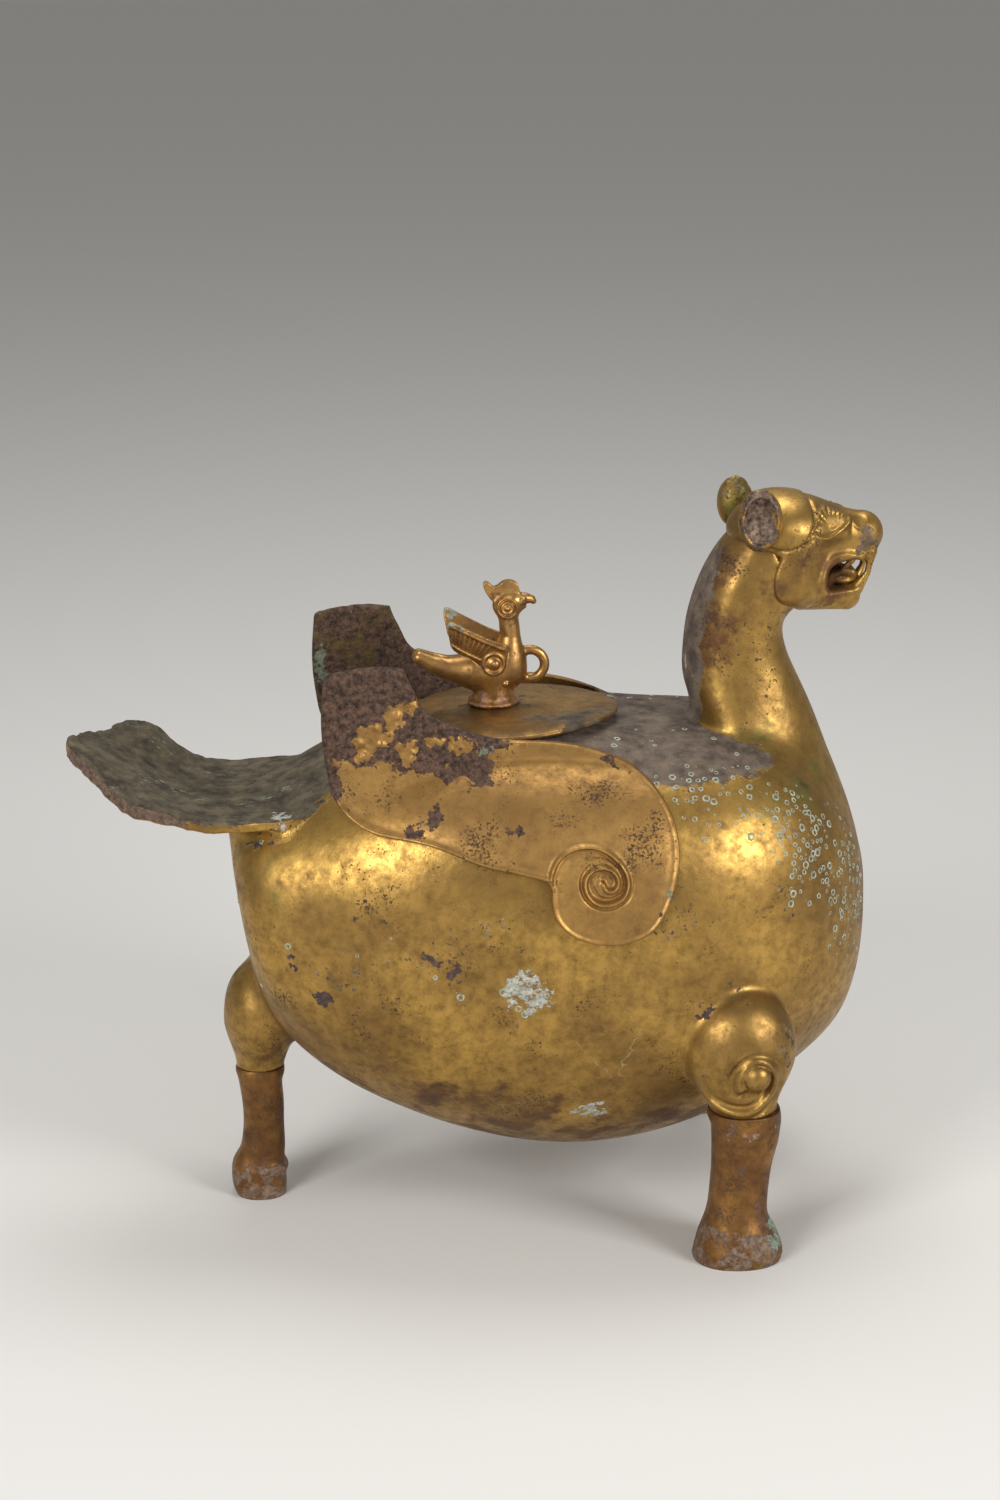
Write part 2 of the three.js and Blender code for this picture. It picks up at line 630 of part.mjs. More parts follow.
/** The bird that faces the beast's head: body, foot, crest, beak, wings, tail and breast loop. */
function bird() {
  const body = profileSkin([
    [...onBird(-0.64, 0.43), ...onBird(-0.64, 0.38), 0.2 * BIRD_WIDTH],
    [...onBird(-0.41, 0.34), ...onBird(-0.45, 0.22), 0.32 * BIRD_WIDTH],
    [...onBird(-0.17, 0.34), ...onBird(-0.21, 0.1), 0.44 * BIRD_WIDTH],
    [...onBird(0.05, 0.45), ...onBird(0.14, 0.09), 0.5 * BIRD_WIDTH],
    [...onBird(0.07, 0.62), ...onBird(0.23, 0.41), 0.4 * BIRD_WIDTH],
    [...onBird(0.02, 0.78), ...onBird(0.23, 0.66), 0.36 * BIRD_WIDTH],
    [...onBird(0.05, 0.9), ...onBird(0.24, 0.76), 0.32 * BIRD_WIDTH],
    [...onBird(0.14, 0.93), ...onBird(0.22, 0.86), 0.14 * BIRD_WIDTH],
  ], { steps: 12, sides: 12 });
  const crest = new THREE.Shape(vectors([
    onBird(-0.07, 0.83), onBird(-0.09, 0.93), onBird(-0.02, 1), onBird(0.12, 1),
    onBird(0.22, 0.93), onBird(0.21, 0.83), onBird(0.07, 0.79),
  ]));
  const beak = new THREE.ConeGeometry(0.24 * BIRD_WIDTH, 0.2 * BIRD_HEIGHT, 12);
  beak.rotateZ(-Math.PI / 2);
  const [beakX, beakZ] = onBird(0.28, 0.81);
  beak.translate(beakX, 0, beakZ);
  const loop = new THREE.TorusGeometry(LOOP_RADIUS, LOOP_WIRE, 7, 16);
  loop.rotateX(Math.PI / 2);
  const [breastX, breastZ] = onBird(0.19, 0.21);
  loop.translate(breastX + LOOP_RADIUS, 0, breastZ);
  const rivetTop = birdFoot + RIVET_LENGTH;
  const rivetHole = post(RIVET_RADIUS + SEAT_GAP, birdFoot - 1, rivetTop + SEAT_GAP, birdX, 0, 20);
  return solidOf(body)
    .add(post(BIRD_FOOT_RADIUS, birdFoot, rivetTop + BIRD_FOOT_WALL, birdX, 0, 24))
    .add(solidOf(runAcross(crest, -CREST_THICKNESS / 2, CREST_THICKNESS / 2)))
    .add(solidOf(beak))
    .add(solidOf(loop))
    .add(birdWing(-1))
    .add(birdWing(1))
    .subtract(rivetHole);
}

/** The rivet: a pin up into the bird, with its head spread under the lid. */
function rivet() {
  const top = bellyTop - LID_THICKNESS;
  return post(RIVET_RADIUS, top - RIVET_HEAD_HEIGHT, birdFoot + RIVET_LENGTH, birdX, 0, 20)
    .add(post(RIVET_HEAD_RADIUS, top - RIVET_HEAD_HEIGHT, top, birdX, 0, 28));
}

const frontLeg = {
  x: chestX - FRONT_LEG_FROM_CHEST,
  shank: FRONT_SHANK_RADIUS,
  hoof: FRONT_HOOF_RADIUS,
  collarZ: FRONT_COLLAR_Z,
  height: FRONT_HAUNCH_HEIGHT,
  radius: FRONT_HAUNCH_RADIUS,
  breadth: 0.95,
};
const frontLegY = BELLY_WIDTH / 2 - FRONT_LEG_INSET;
const legs = {
  front_right: { ...frontLeg, y: -frontLegY },
  front_left: { ...frontLeg, y: frontLegY },
  rear: {
    x: RUMP_X + REAR_LEG_FROM_RUMP,
    y: 0,
    shank: REAR_SHANK_RADIUS,
    hoof: REAR_HOOF_RADIUS,
    collarZ: REAR_COLLAR_Z,
    height: REAR_HAUNCH_HEIGHT,
    radius: REAR_HAUNCH_RADIUS,
    breadth: 1.25,
  },
};

const beast = new THREE.Group();
beast.add(
  piece('belly', belly(), gilding),
  piece('neck', neck(), gilding),
  piece('head', head(), gilding),
  piece('tongue', tongue(), gilding),
  piece('right_ear', ear(-1), gilding),
  piece('left_ear', ear(1), gilding),
  piece('right_wing', wing(-1), gilding),
  piece('left_wing', wing(1), gilding),
  piece('tail', tail(), lidBronze),
);
for (const [name, sizes] of Object.entries(legs)) {
  beast.add(piece(`${name}_haunch`, haunch(sizes), gilding), piece(`${name}_leg`, leg(sizes), legBronze));
}

const cover = new THREE.Group();
cover.add(
  piece('lid', lid(), lidBronze),
  piece('bird_knob', bird(), gilding),
  piece('bird_rivet', rivet(), legBronze),
);

const vessel = new THREE.Group();
vessel.add(beast, cover);
const extent = new THREE.Box3().setFromObject(vessel, true);
vessel.position.set(-(extent.min.x + extent.max.x) / 2, -(extent.min.y + extent.max.y) / 2, -extent.min.z);

export default vessel;
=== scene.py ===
"""A gilt-bronze beast-shaped wine vessel with a bird-knobbed lid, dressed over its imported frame.

Sizes are design millimetres: X runs to the beast's head, Z up, and Y is 0 on the middle plane.
Only the last step turns them to the frame's metres.
"""
import logging
import math
from collections.abc import Sequence
from dataclasses import dataclass, field, replace
from enum import Enum

import bpy
import numpy as np
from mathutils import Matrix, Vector
from mathutils.bvhtree import BVHTree
from mathutils.geometry import delaunay_2d_cdt

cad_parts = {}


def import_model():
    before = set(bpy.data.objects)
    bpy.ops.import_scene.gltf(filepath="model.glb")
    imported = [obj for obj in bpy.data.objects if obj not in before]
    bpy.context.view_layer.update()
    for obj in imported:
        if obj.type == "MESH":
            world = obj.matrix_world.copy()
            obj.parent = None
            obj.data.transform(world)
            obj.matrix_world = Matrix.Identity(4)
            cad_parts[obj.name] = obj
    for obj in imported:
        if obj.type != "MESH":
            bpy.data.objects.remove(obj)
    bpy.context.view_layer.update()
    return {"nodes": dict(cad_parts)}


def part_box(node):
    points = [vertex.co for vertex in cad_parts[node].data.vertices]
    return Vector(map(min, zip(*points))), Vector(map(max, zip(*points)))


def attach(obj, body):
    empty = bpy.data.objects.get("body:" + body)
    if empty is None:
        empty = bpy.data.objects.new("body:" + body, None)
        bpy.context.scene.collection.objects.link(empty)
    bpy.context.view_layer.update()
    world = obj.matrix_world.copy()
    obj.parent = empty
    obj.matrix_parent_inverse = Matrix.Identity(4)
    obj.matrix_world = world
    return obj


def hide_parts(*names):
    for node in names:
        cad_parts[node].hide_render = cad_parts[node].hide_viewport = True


log = logging.getLogger("vessel")

Points = np.ndarray
Value = float | np.ndarray
Rows = Sequence[Sequence[float]] | np.ndarray
Place = tuple[float, float, float]
Socket = bpy.types.NodeSocket

MM = 0.001
REAR_LEG_X = -104.0
FRONT_LEG_Y = 92.0
BELLY_TOP = 244.5
LID_X = 19.5
LID_RADIUS = 49.0
MOUTH_RADIUS = 40.0
WALL = 4.0
# A casting blends into the belly from just under its skin and ends in a skirt inside the wall
UNDER_SKIN = 0.15
SKIRT_DEPTH = 3.0
# A coordinate beyond every casting, from which rays are cast inwards
CLEAR = 300.0
# A distance that stands for nothing near
FAR = 9.0
# Angles at which the rings of a domed cap stand, and the angle past which an edge is drawn sharp
CAP_TURNS = np.radians([18, 36, 54, 70, 82])
CREASE = math.radians(38)


class Side(Enum):
    """The two sides of the beast; its right side faces the camera."""

    RIGHT = -1
    LEFT = 1


# Lines, skins and fields of distance, all in design millimetres


def smooth_line(points: Rows, count: int, closed: bool = False) -> Points:
    """Run a natural cubic spline through points, spaced by chord length.

    Args:
        points: rows of coordinates, of any width.
        count: how many points to return.
        closed: whether the line runs back to its first point.

    Returns:
        The points along the line, one row each.
    """
    line = np.asarray(points, float)
    if closed:
        line = np.vstack([line[-4:], line, line[:5]])
    gaps = np.linalg.norm(np.diff(line, axis=0), axis=1)
    at = np.concatenate([[0.0], np.cumsum(gaps)])
    size = len(line)
    system = np.eye(size)
    turning = np.zeros_like(line)
    for i in range(1, size - 1):
        system[i, i - 1:i + 2] = gaps[i - 1], 2 * (gaps[i - 1] + gaps[i]), gaps[i]
        turning[i] = 6 * ((line[i + 1] - line[i]) / gaps[i] - (line[i] - line[i - 1]) / gaps[i - 1])
    bend = np.linalg.solve(system, turning)
    ends = (at[4], at[-5]) if closed else (at[0], at[-1])
    want = np.linspace(*ends, count, endpoint=not closed)
    i = np.clip(np.searchsorted(at, want, side="right") - 1, 0, size - 2)
    gap = gaps[i][:, None]
    a = (at[i + 1] - want)[:, None] / gap
    b = 1 - a
    return a * line[i] + b * line[i + 1] + ((a**3 - a) * bend[i] + (b**3 - b) * bend[i + 1]) * gap**2 / 6


def eased(value: Value, low: float, high: float) -> Value:
    """Return 0 below low, 1 above high and a smooth rise between them."""
    share = np.clip((value - low) / (high - low), 0, 1)
    return share * share * (3 - 2 * share)


def line_distance(x: Points, z: Points, line: Points) -> Points:
    """Return how far places in a plane lie from a line of points.

    Args:
        x: first coordinates of the places.
        z: second coordinates, of a shape that broadcasts with x.
        line: the line's points, one row of two each.

    Returns:
        The distances.
    """
    best = None
    for (ax, az), (bx, bz) in zip(line[:-1], line[1:]):
        dx, dz = bx - ax, bz - az
        share = np.clip(((x - ax) * dx + (z - az) * dz) / (dx * dx + dz * dz + 1e-9), 0, 1)
        gap = np.hypot(x - ax - share * dx, z - az - share * dz)
        best = gap if best is None else np.minimum(best, gap)
    return best


def outline_distance(x: Points, z: Points, outline: Points) -> Points:
    """Return the distance to a closed outline, negative inside it.

    Args:
        x: first coordinates of the places.
        z: second coordinates.
        outline: the outline's points, not repeated at the end.

    Returns:
        The signed distances.
    """
    inside = np.zeros(np.broadcast(x, z).shape, bool)
    for (ax, az), (bx, bz) in zip(outline, np.roll(outline, -1, axis=0)):
        crosses = (az > z) != (bz > z)
        inside ^= crosses & (x < (bx - ax) * (z - az) / (bz - az + 1e-12) + ax)
    gap = line_distance(x, z, np.vstack([outline, outline[:1]]))
    return np.where(inside, -gap, gap)


def joined(first: Points, second: Points, rounding: Value = 0.0) -> Points:
    """Join two distance fields, with a fillet of about a rounding between them."""
    if np.isscalar(rounding) and rounding <= 0:
        return np.minimum(first, second)
    near = np.maximum(rounding - np.abs(first - second), 0) / rounding
    return np.minimum(first, second) - near * near * rounding / 4


def without(first: Points, second: Points, rounding: Value = 0.0) -> Points:
    """Cut the second field's form out of the first's."""
    return -joined(-first, second, rounding)


def overlap(first: Points, second: Points, rounding: float) -> Points:
    """Return the field of what two forms share, with the edge between them rounded."""
    first, second = np.broadcast_arrays(first + rounding, second + rounding)
    beyond = np.hypot(np.maximum(first, 0), np.maximum(second, 0))
    return beyond + np.minimum(np.maximum(first, second), 0) - rounding


def stretched(values: Points, start: list, step: float, axes: list) -> Points:
    """Bring values from a coarse grid to a finer one by cubic steps along each axis.

    Args:
        values: samples on the coarse grid.
        start: the coarse grid's first coordinate on each axis.
        step: its spacing.
        axes: the fine grid's coordinates on each axis.

    Returns:
        The values on the fine grid.
    """
    for axis in range(3):
        place = (axes[axis] - start[axis]) / step
        cell = np.clip(np.floor(place).astype(int), 1, values.shape[axis] - 3)
        t = (place - cell).astype(np.float32)
        weights = (
            ((-t + 2) * t - 1) * t / 2,
            ((3 * t - 5) * t * t + 2) / 2,
            ((-3 * t + 4) * t + 1) * t / 2,
            (t - 1) * t * t / 2,
        )
        shape = [1, 1, 1]
        shape[axis] = len(t)
        values = sum(
            np.take(values, cell + i - 1, axis=axis) * weight.reshape(shape)
            for i, weight in enumerate(weights)
        )
    return values


@dataclass
class Skin:
    """A closed surface in design millimetres: points, four-sided faces and three-sided faces."""

    points: Points
    quads: Points
    triangles: Points = field(default_factory=lambda: np.zeros((0, 3), int))

    def corners(self) -> tuple[Points, list[Points]]:
        """Return the faces as triangles of point numbers, and the places of their three corners."""
        halves = np.vstack([self.quads[:, [0, 1, 2]], self.quads[:, [0, 2, 3]], self.triangles])
        return halves, [self.points[halves[:, i]] for i in range(3)]

    def facing_out(self) -> "Skin":
        """Return the skin with its faces turned outwards."""
        _, (a, b, c) = self.corners()
        if np.einsum("ij,ij->i", a, np.cross(b, c)).sum() < 0:
            return Skin(self.points, self.quads[:, ::-1], self.triangles[:, ::-1])
        return self

    def mirrored(self) -> "Skin":
        """Return the skin seen in the middle plane, still facing out."""
        return Skin(self.points * [1, -1, 1], self.quads[:, ::-1], self.triangles[:, ::-1])

    def grown(self, distance: float) -> "Skin":
        """Return the skin moved along its normals, out or in."""
        halves, (a, b, c) = self.corners()
        facing = np.cross(b - a, c - a)
        normals = np.zeros_like(self.points)
        for i in range(3):
            np.add.at(normals, halves[:, i], facing)
        normals /= np.linalg.norm(normals, axis=1)[:, None] + 1e-12
        return Skin(self.points + normals * distance, self.quads, self.triangles)

    def tree(self) -> BVHTree:
        """Return a search tree over the skin's faces."""
        return BVHTree.FromPolygons(self.points.tolist(), self.quads.tolist() + self.triangles.tolist())

    def as_object(self, name: str, shift: float) -> bpy.types.Object:
        """Make a Blender object of the skin, with its place in its mesh.

        Args:
            name: the object's name.
            shift: how far the frame's X lies from the design's, in millimetres.

        Returns:
            The object, linked to the scene.
        """
        mesh = bpy.data.meshes.new(name)
        mesh.vertices.add(len(self.points))
        mesh.vertices.foreach_set("co", ((self.points + [shift, 0, 0]) * MM).astype(np.float32).ravel())
        corners = np.concatenate([self.quads.ravel(), self.triangles.ravel()]).astype(np.int32)
        sizes = np.concatenate([np.full(len(self.quads), 4), np.full(len(self.triangles), 3)])
        mesh.loops.add(len(corners))
        mesh.loops.foreach_set("vertex_index", corners)
        mesh.polygons.add(len(sizes))
        mesh.polygons.foreach_set("loop_start", (np.cumsum(sizes) - sizes).astype(np.int32))
        mesh.polygons.foreach_set("use_smooth", np.ones(len(sizes), bool))
        mesh.update(calc_edges=True)
        mesh.validate()
        made = bpy.data.objects.new(name, mesh)
        bpy.context.scene.collection.objects.link(made)
        return made


def wrapped(grid: Points, start_bulge: float = 0.0, end_bulge: float = 0.0) -> Skin:
    """Close a grid of rings into a skin, with a domed cap at each end.

    Args:
        grid: rings of equally many points, one row of the array each.
        start_bulge: how far the first cap domes out.
        end_bulge: how far the last cap domes out.

    Returns:
        The skin, facing out.
    """
    rings = list(grid)
    for bulge, at_start in ((start_bulge, True), (end_bulge, False)):
        rim, inner = (rings[0], rings[1]) if at_start else (rings[-1], rings[-2])
        centre = rim.mean(axis=0)
        outward = centre - inner.mean(axis=0)
        outward /= np.linalg.norm(outward) + 1e-9
        caps = []
        for turn in CAP_TURNS:
            caps.append(centre + (rim - centre) * math.cos(turn) + outward * bulge * math.sin(turn))
        rings = caps[::-1] + rings if at_start else rings + caps
    sides = len(rings[0])
    points = np.vstack(rings + [rings[0].mean(axis=0)[None], rings[-1].mean(axis=0)[None]])
    start = np.arange(len(rings) - 1)[:, None] * sides
    here = np.arange(sides)[None]
    after = (here + 1) % sides
    quads = np.stack([start + here, start + after, start + after + sides, start + here + sides], axis=-1)
    here, after, last = here[0], after[0], (len(rings) - 1) * sides
    first_fan = np.stack([np.full(sides, len(points) - 2), after, here], axis=-1)
    last_fan = np.stack([np.full(sides, len(points) - 1), last + here, last + after], axis=-1)
    return Skin(points, quads.reshape(-1, 4), np.vstack([first_fan, last_fan])).facing_out()


def loft(stations: Rows, rings: int, sides: int, upper: float, lower: float) -> Points:
    """Lay squared ovals through stations seen from the side.

    Args:
        stations: rows of the back point's X and Z, the underside point's X and Z, and the half width.
        rings: how many ovals to lay.
        sides: how many points each has.
        upper: the power of the upper half; 2 is an ellipse and more is squarer.
        lower: the power of the lower half.

    Returns:
        A grid of points, one row to an oval.
    """
    rows = smooth_line(stations, rings)
    turn = 2 * np.pi * np.arange(sides) / sides
    across, up = np.cos(turn), np.sin(turn)
    power = lower + (upper - lower) * eased(up, -0.35, 0.35)
    reach = (np.abs(across) ** power + np.abs(up) ** power) ** (-1 / power)
    back, under, half = rows[:, None, 0:2], rows[:, None, 2:4], np.maximum(rows[:, None, 4], 0.05)
    rise = (back + under) / 2 + (back - under) / 2 * (up * reach)[None, :, None]
    return np.stack([rise[..., 0], half * (across * reach)[None], rise[..., 1]], axis=-1)


@dataclass
class Block:
    """A box of sample points on which a form is worked as a field of distances."""

    low: tuple[float, float, float]
    high: tuple[float, float, float]
    step: float

    def __post_init__(self) -> None:
        """Lay out the coordinates."""
        self.axes = [np.arange(a, b + self.step, self.step, dtype=np.float32)
                     for a, b in zip(self.low, self.high)]
        self.x = self.axes[0][:, None, None]
        self.y = self.axes[1][None, :, None]
        self.z = self.axes[2][None, None, :]

    def ellipsoid(self, centre: tuple, radii: tuple) -> Points:
        """Return the field of an ellipsoid; one off the middle plane has a twin across it."""
        y = np.abs(self.y) if centre[1] > 0 else self.y
        x, y, z = self.x - centre[0], y - centre[1], self.z - centre[2]
        a, b, c = radii
        near = np.sqrt((x / a) ** 2 + (y / b) ** 2 + (z / c) ** 2)
        slope = np.sqrt((x / a**2) ** 2 + (y / b**2) ** 2 + (z / c**2) ** 2)
        return near * (near - 1) / (slope + 1e-6)

    def rod(self, start: tuple, end: tuple, radius: float, end_radius: float | None = None) -> Points:
        """Return the field of a round rod, tapered if given two radii, twinned if off the middle plane."""
        y = np.abs(self.y) if start[1] > 0 else self.y
        a, b = np.array(start, float), np.array(end, float)
        run = b - a
        x, y, z = self.x - a[0], y - a[1], self.z - a[2]
        share = np.clip((x * run[0] + y * run[1] + z * run[2]) / (run @ run), 0, 1)
        gap = np.sqrt((x - share * run[0]) ** 2 + (y - share * run[1]) ** 2 + (z - share * run[2]) ** 2)
        return gap - radius - share * ((radius if end_radius is None else end_radius) - radius)

    def path(self, points: Rows, radii: Sequence[float]) -> Points:
        """Return the field of a rod bent through several points, with a radius at each."""
        made = None
        for start, end, one, other in zip(points[:-1], points[1:], radii[:-1], radii[1:]):
            part = self.rod(start, end, one, other)
            made = part if made is None else joined(made, part)
        return made

    def near_line(self, points: Rows, count: int = 40) -> Points:
        """Return the distance, seen from the side, to a smooth line."""
        return line_distance(self.x, self.z, smooth_line(points, count))

    def outline(self, points: Rows, count: int = 80) -> Points:
        """Return the distance, seen from the side, to a smooth closed outline; negative inside."""
        return outline_distance(self.x, self.z, smooth_line(points, count, closed=True))

    def noise(self, size: float, seed: int) -> Points:
        """Return smooth random values between about -1 and 1, whose swells are a size across."""
        start = [axis[0] - 2 * size for axis in self.axes]
        counts = [int((axis[-1] - axis[0]) / size) + 7 for axis in self.axes]
        lattice = np.random.default_rng(seed).uniform(-1, 1, counts).astype(np.float32)
        return stretched(lattice, start, size, self.axes)

    def distance_to(self, skin: Skin, spacing: float = 3.0) -> Points:
        """Return the signed distance to a skin, sampled coarsely and brought up smoothly."""
        tree = skin.tree()
        start = [axis[0] - 2 * spacing for axis in self.axes]
        counts = [int((axis[-1] - axis[0]) / spacing) + 7 for axis in self.axes]
        values = np.zeros(counts, np.float32)
        for index in np.ndindex(*counts):
            place = Vector([start[i] + spacing * index[i] for i in range(3)])
            nearest, normal, _, gap = tree.find_nearest(place)
            values[index] = gap if (place - nearest).dot(normal) >= 0 else -gap
        return stretched(values, start, spacing, self.axes)

    def skin(self, values: Points) -> Skin:
        """Draw the surface on which a field is zero.

        Args:
            values: the field, negative inside the form.

        Returns:
            The surface, with a point in each cell that it passes and a face over each edge it crosses.
        """
        inside = values < 0
        cells = np.array(values.shape) - 1
        strides = np.array([cells[1] * cells[2], cells[2], 1])
        sums = np.zeros((4, cells.prod()))
        faces = []
        for axis in range(3):
            u, v = (axis + 1) % 3, (axis + 2) % 3
            step_on = np.zeros(3, int)
            step_on[axis] = 1
            head = tuple(slice(None, -1) if i == axis else slice(None) for i in range(3))
            tail = tuple(slice(1, None) if i == axis else slice(None) for i in range(3))
            at = np.argwhere(inside[head] != inside[tail])
            at = at[((at[:, [u, v]] > 0) & (at[:, [u, v]] < cells[[u, v]])).all(axis=1)]
            first = values[tuple(at.T)]
            second = values[tuple((at + step_on).T)]
            place = at.astype(float)
            place[:, axis] += first / (first - second)
            around = []
            for du, dv in ((1, 1), (0, 1), (0, 0), (1, 0)):
                cell = at.copy()
                cell[:, u] -= du
                cell[:, v] -= dv
                flat = cell @ strides
                around.append(flat)
                for i in range(3):
                    sums[i] += np.bincount(flat, place[:, i], sums.shape[1])
                sums[3] += np.bincount(flat, minlength=sums.shape[1])
            ring = np.stack(around, axis=-1)
            faces.append(np.where((first < 0)[:, None], ring, ring[:, ::-1]))
        quads = np.vstack(faces)
        used, quads = np.unique(quads, return_inverse=True)
        points = (sums[:3, used] / sums[3, used]).T * self.step + [axis[0] for axis in self.axes]
        return Skin(points, quads.reshape(-1, 4))


def carved(piece: bpy.types.Object, cutters: list[bpy.types.Object]) -> None:
    """Cut closed objects out of a piece, delete them, and leave a plain mesh.

    Args:
        piece: the closed object to cut.
        cutters: the closed objects to take away.
    """
    for cutter in cutters:
        step = piece.modifiers.new("cut", "BOOLEAN")
        step.object = cutter
        step.operation = "DIFFERENCE"
        step.solver = "MANIFOLD"
    plain(piece)
    for cutter in cutters:
        mesh = cutter.data
        bpy.data.objects.remove(cutter)
        bpy.data.meshes.remove(mesh)


def plain(piece: bpy.types.Object) -> None:
    """Turn a piece's modifiers into its plain mesh."""
    ready = piece.evaluated_get(bpy.context.evaluated_depsgraph_get())
    mesh = bpy.data.meshes.new_from_object(ready)
    piece.modifiers.clear()
    old = piece.data
    piece.data = mesh
    bpy.data.meshes.remove(old)
    mesh.name = piece.name
    mesh.set_sharp_from_angle(angle=CREASE)


# Finishes, all worked in frame millimetres

NOISE, CELLS, RANGE = "ShaderNodeTexNoise", "ShaderNodeTexVoronoi", "ShaderNodeMapRange"
MATH, VECTOR, MIX = "ShaderNodeMath", "ShaderNodeVectorMath", "ShaderNodeMix"
ATTRIBUTE = "GeometryNodeInputNamedAttribute"


def srgb(code: str) -> tuple[float, float, float, float]:
    """Turn an sRGB hex colour to linear RGBA.

    Args:
        code: the colour as six hex digits.

    Returns:
        The linear colour with an alpha of 1.
    """
    parts = [int(code[i:i + 2], 16) / 255 for i in (0, 2, 4)]
    linear = [c / 12.92 if c <= 0.04045 else ((c + 0.055) / 1.055) ** 2.4 for c in parts]
    return (*linear, 1.0)


def add(tree: bpy.types.NodeTree, kind: str, inputs: dict | None = None,
        **settings: object) -> bpy.types.Node:
    """Add a node with its settings, its input values and its links.

    Args:
        tree: the node tree it goes into.
        kind: the node's type name.
        inputs: a value, or an output to link, for each input by name or number.
        **settings: the node's own properties.

    Returns:
        The node.
    """
    made = tree.nodes.new(kind)
    for name, value in settings.items():
        setattr(made, name, value)
    for name, value in (inputs or {}).items():
        if isinstance(value, bpy.types.NodeSocket):
            tree.links.new(value, made.inputs[name])
        else:
            made.inputs[name].default_value = value
    return made


class Pattern(Enum):
    """How a layer of wear, growth or painted shade breaks up."""

    BLOTCH = "ragged patches, or streaks where they are stretched"
    CRACK = "fine branching lines"


@dataclass(frozen=True)
class Zone:
    """A soft ellipsoid in which a layer is thicker, or thinner if its strength is below 0.

    With a facing it acts only where the surface turns that way: not at all at the first turned
    value of their dot product, and fully at the second.
    """

    centre: Place
    radii: Place
    strength: float = 1.0
    facing: Place | None = None
    turned: tuple[float, float] = (0.35, 0.75)


@dataclass(frozen=True)
class Layer:
    """One kind of wear or growth, or of painted shade: its look, its pattern and the places where it sits."""

    size_mm: float
    cover: float
    dark: str
    light: str
    roughness: float = 0.7
    metallic: float = 0.3
    relief_mm: float = 0.0
    grit_mm: float = 0.0
    soft: float = 0.06
    stretch: tuple[float, float, float] = (1.0, 1.0, 1.0)
    cluster_mm: float = 0.0
    zones: tuple[Zone, ...] = ()
    pattern: Pattern = Pattern.BLOTCH


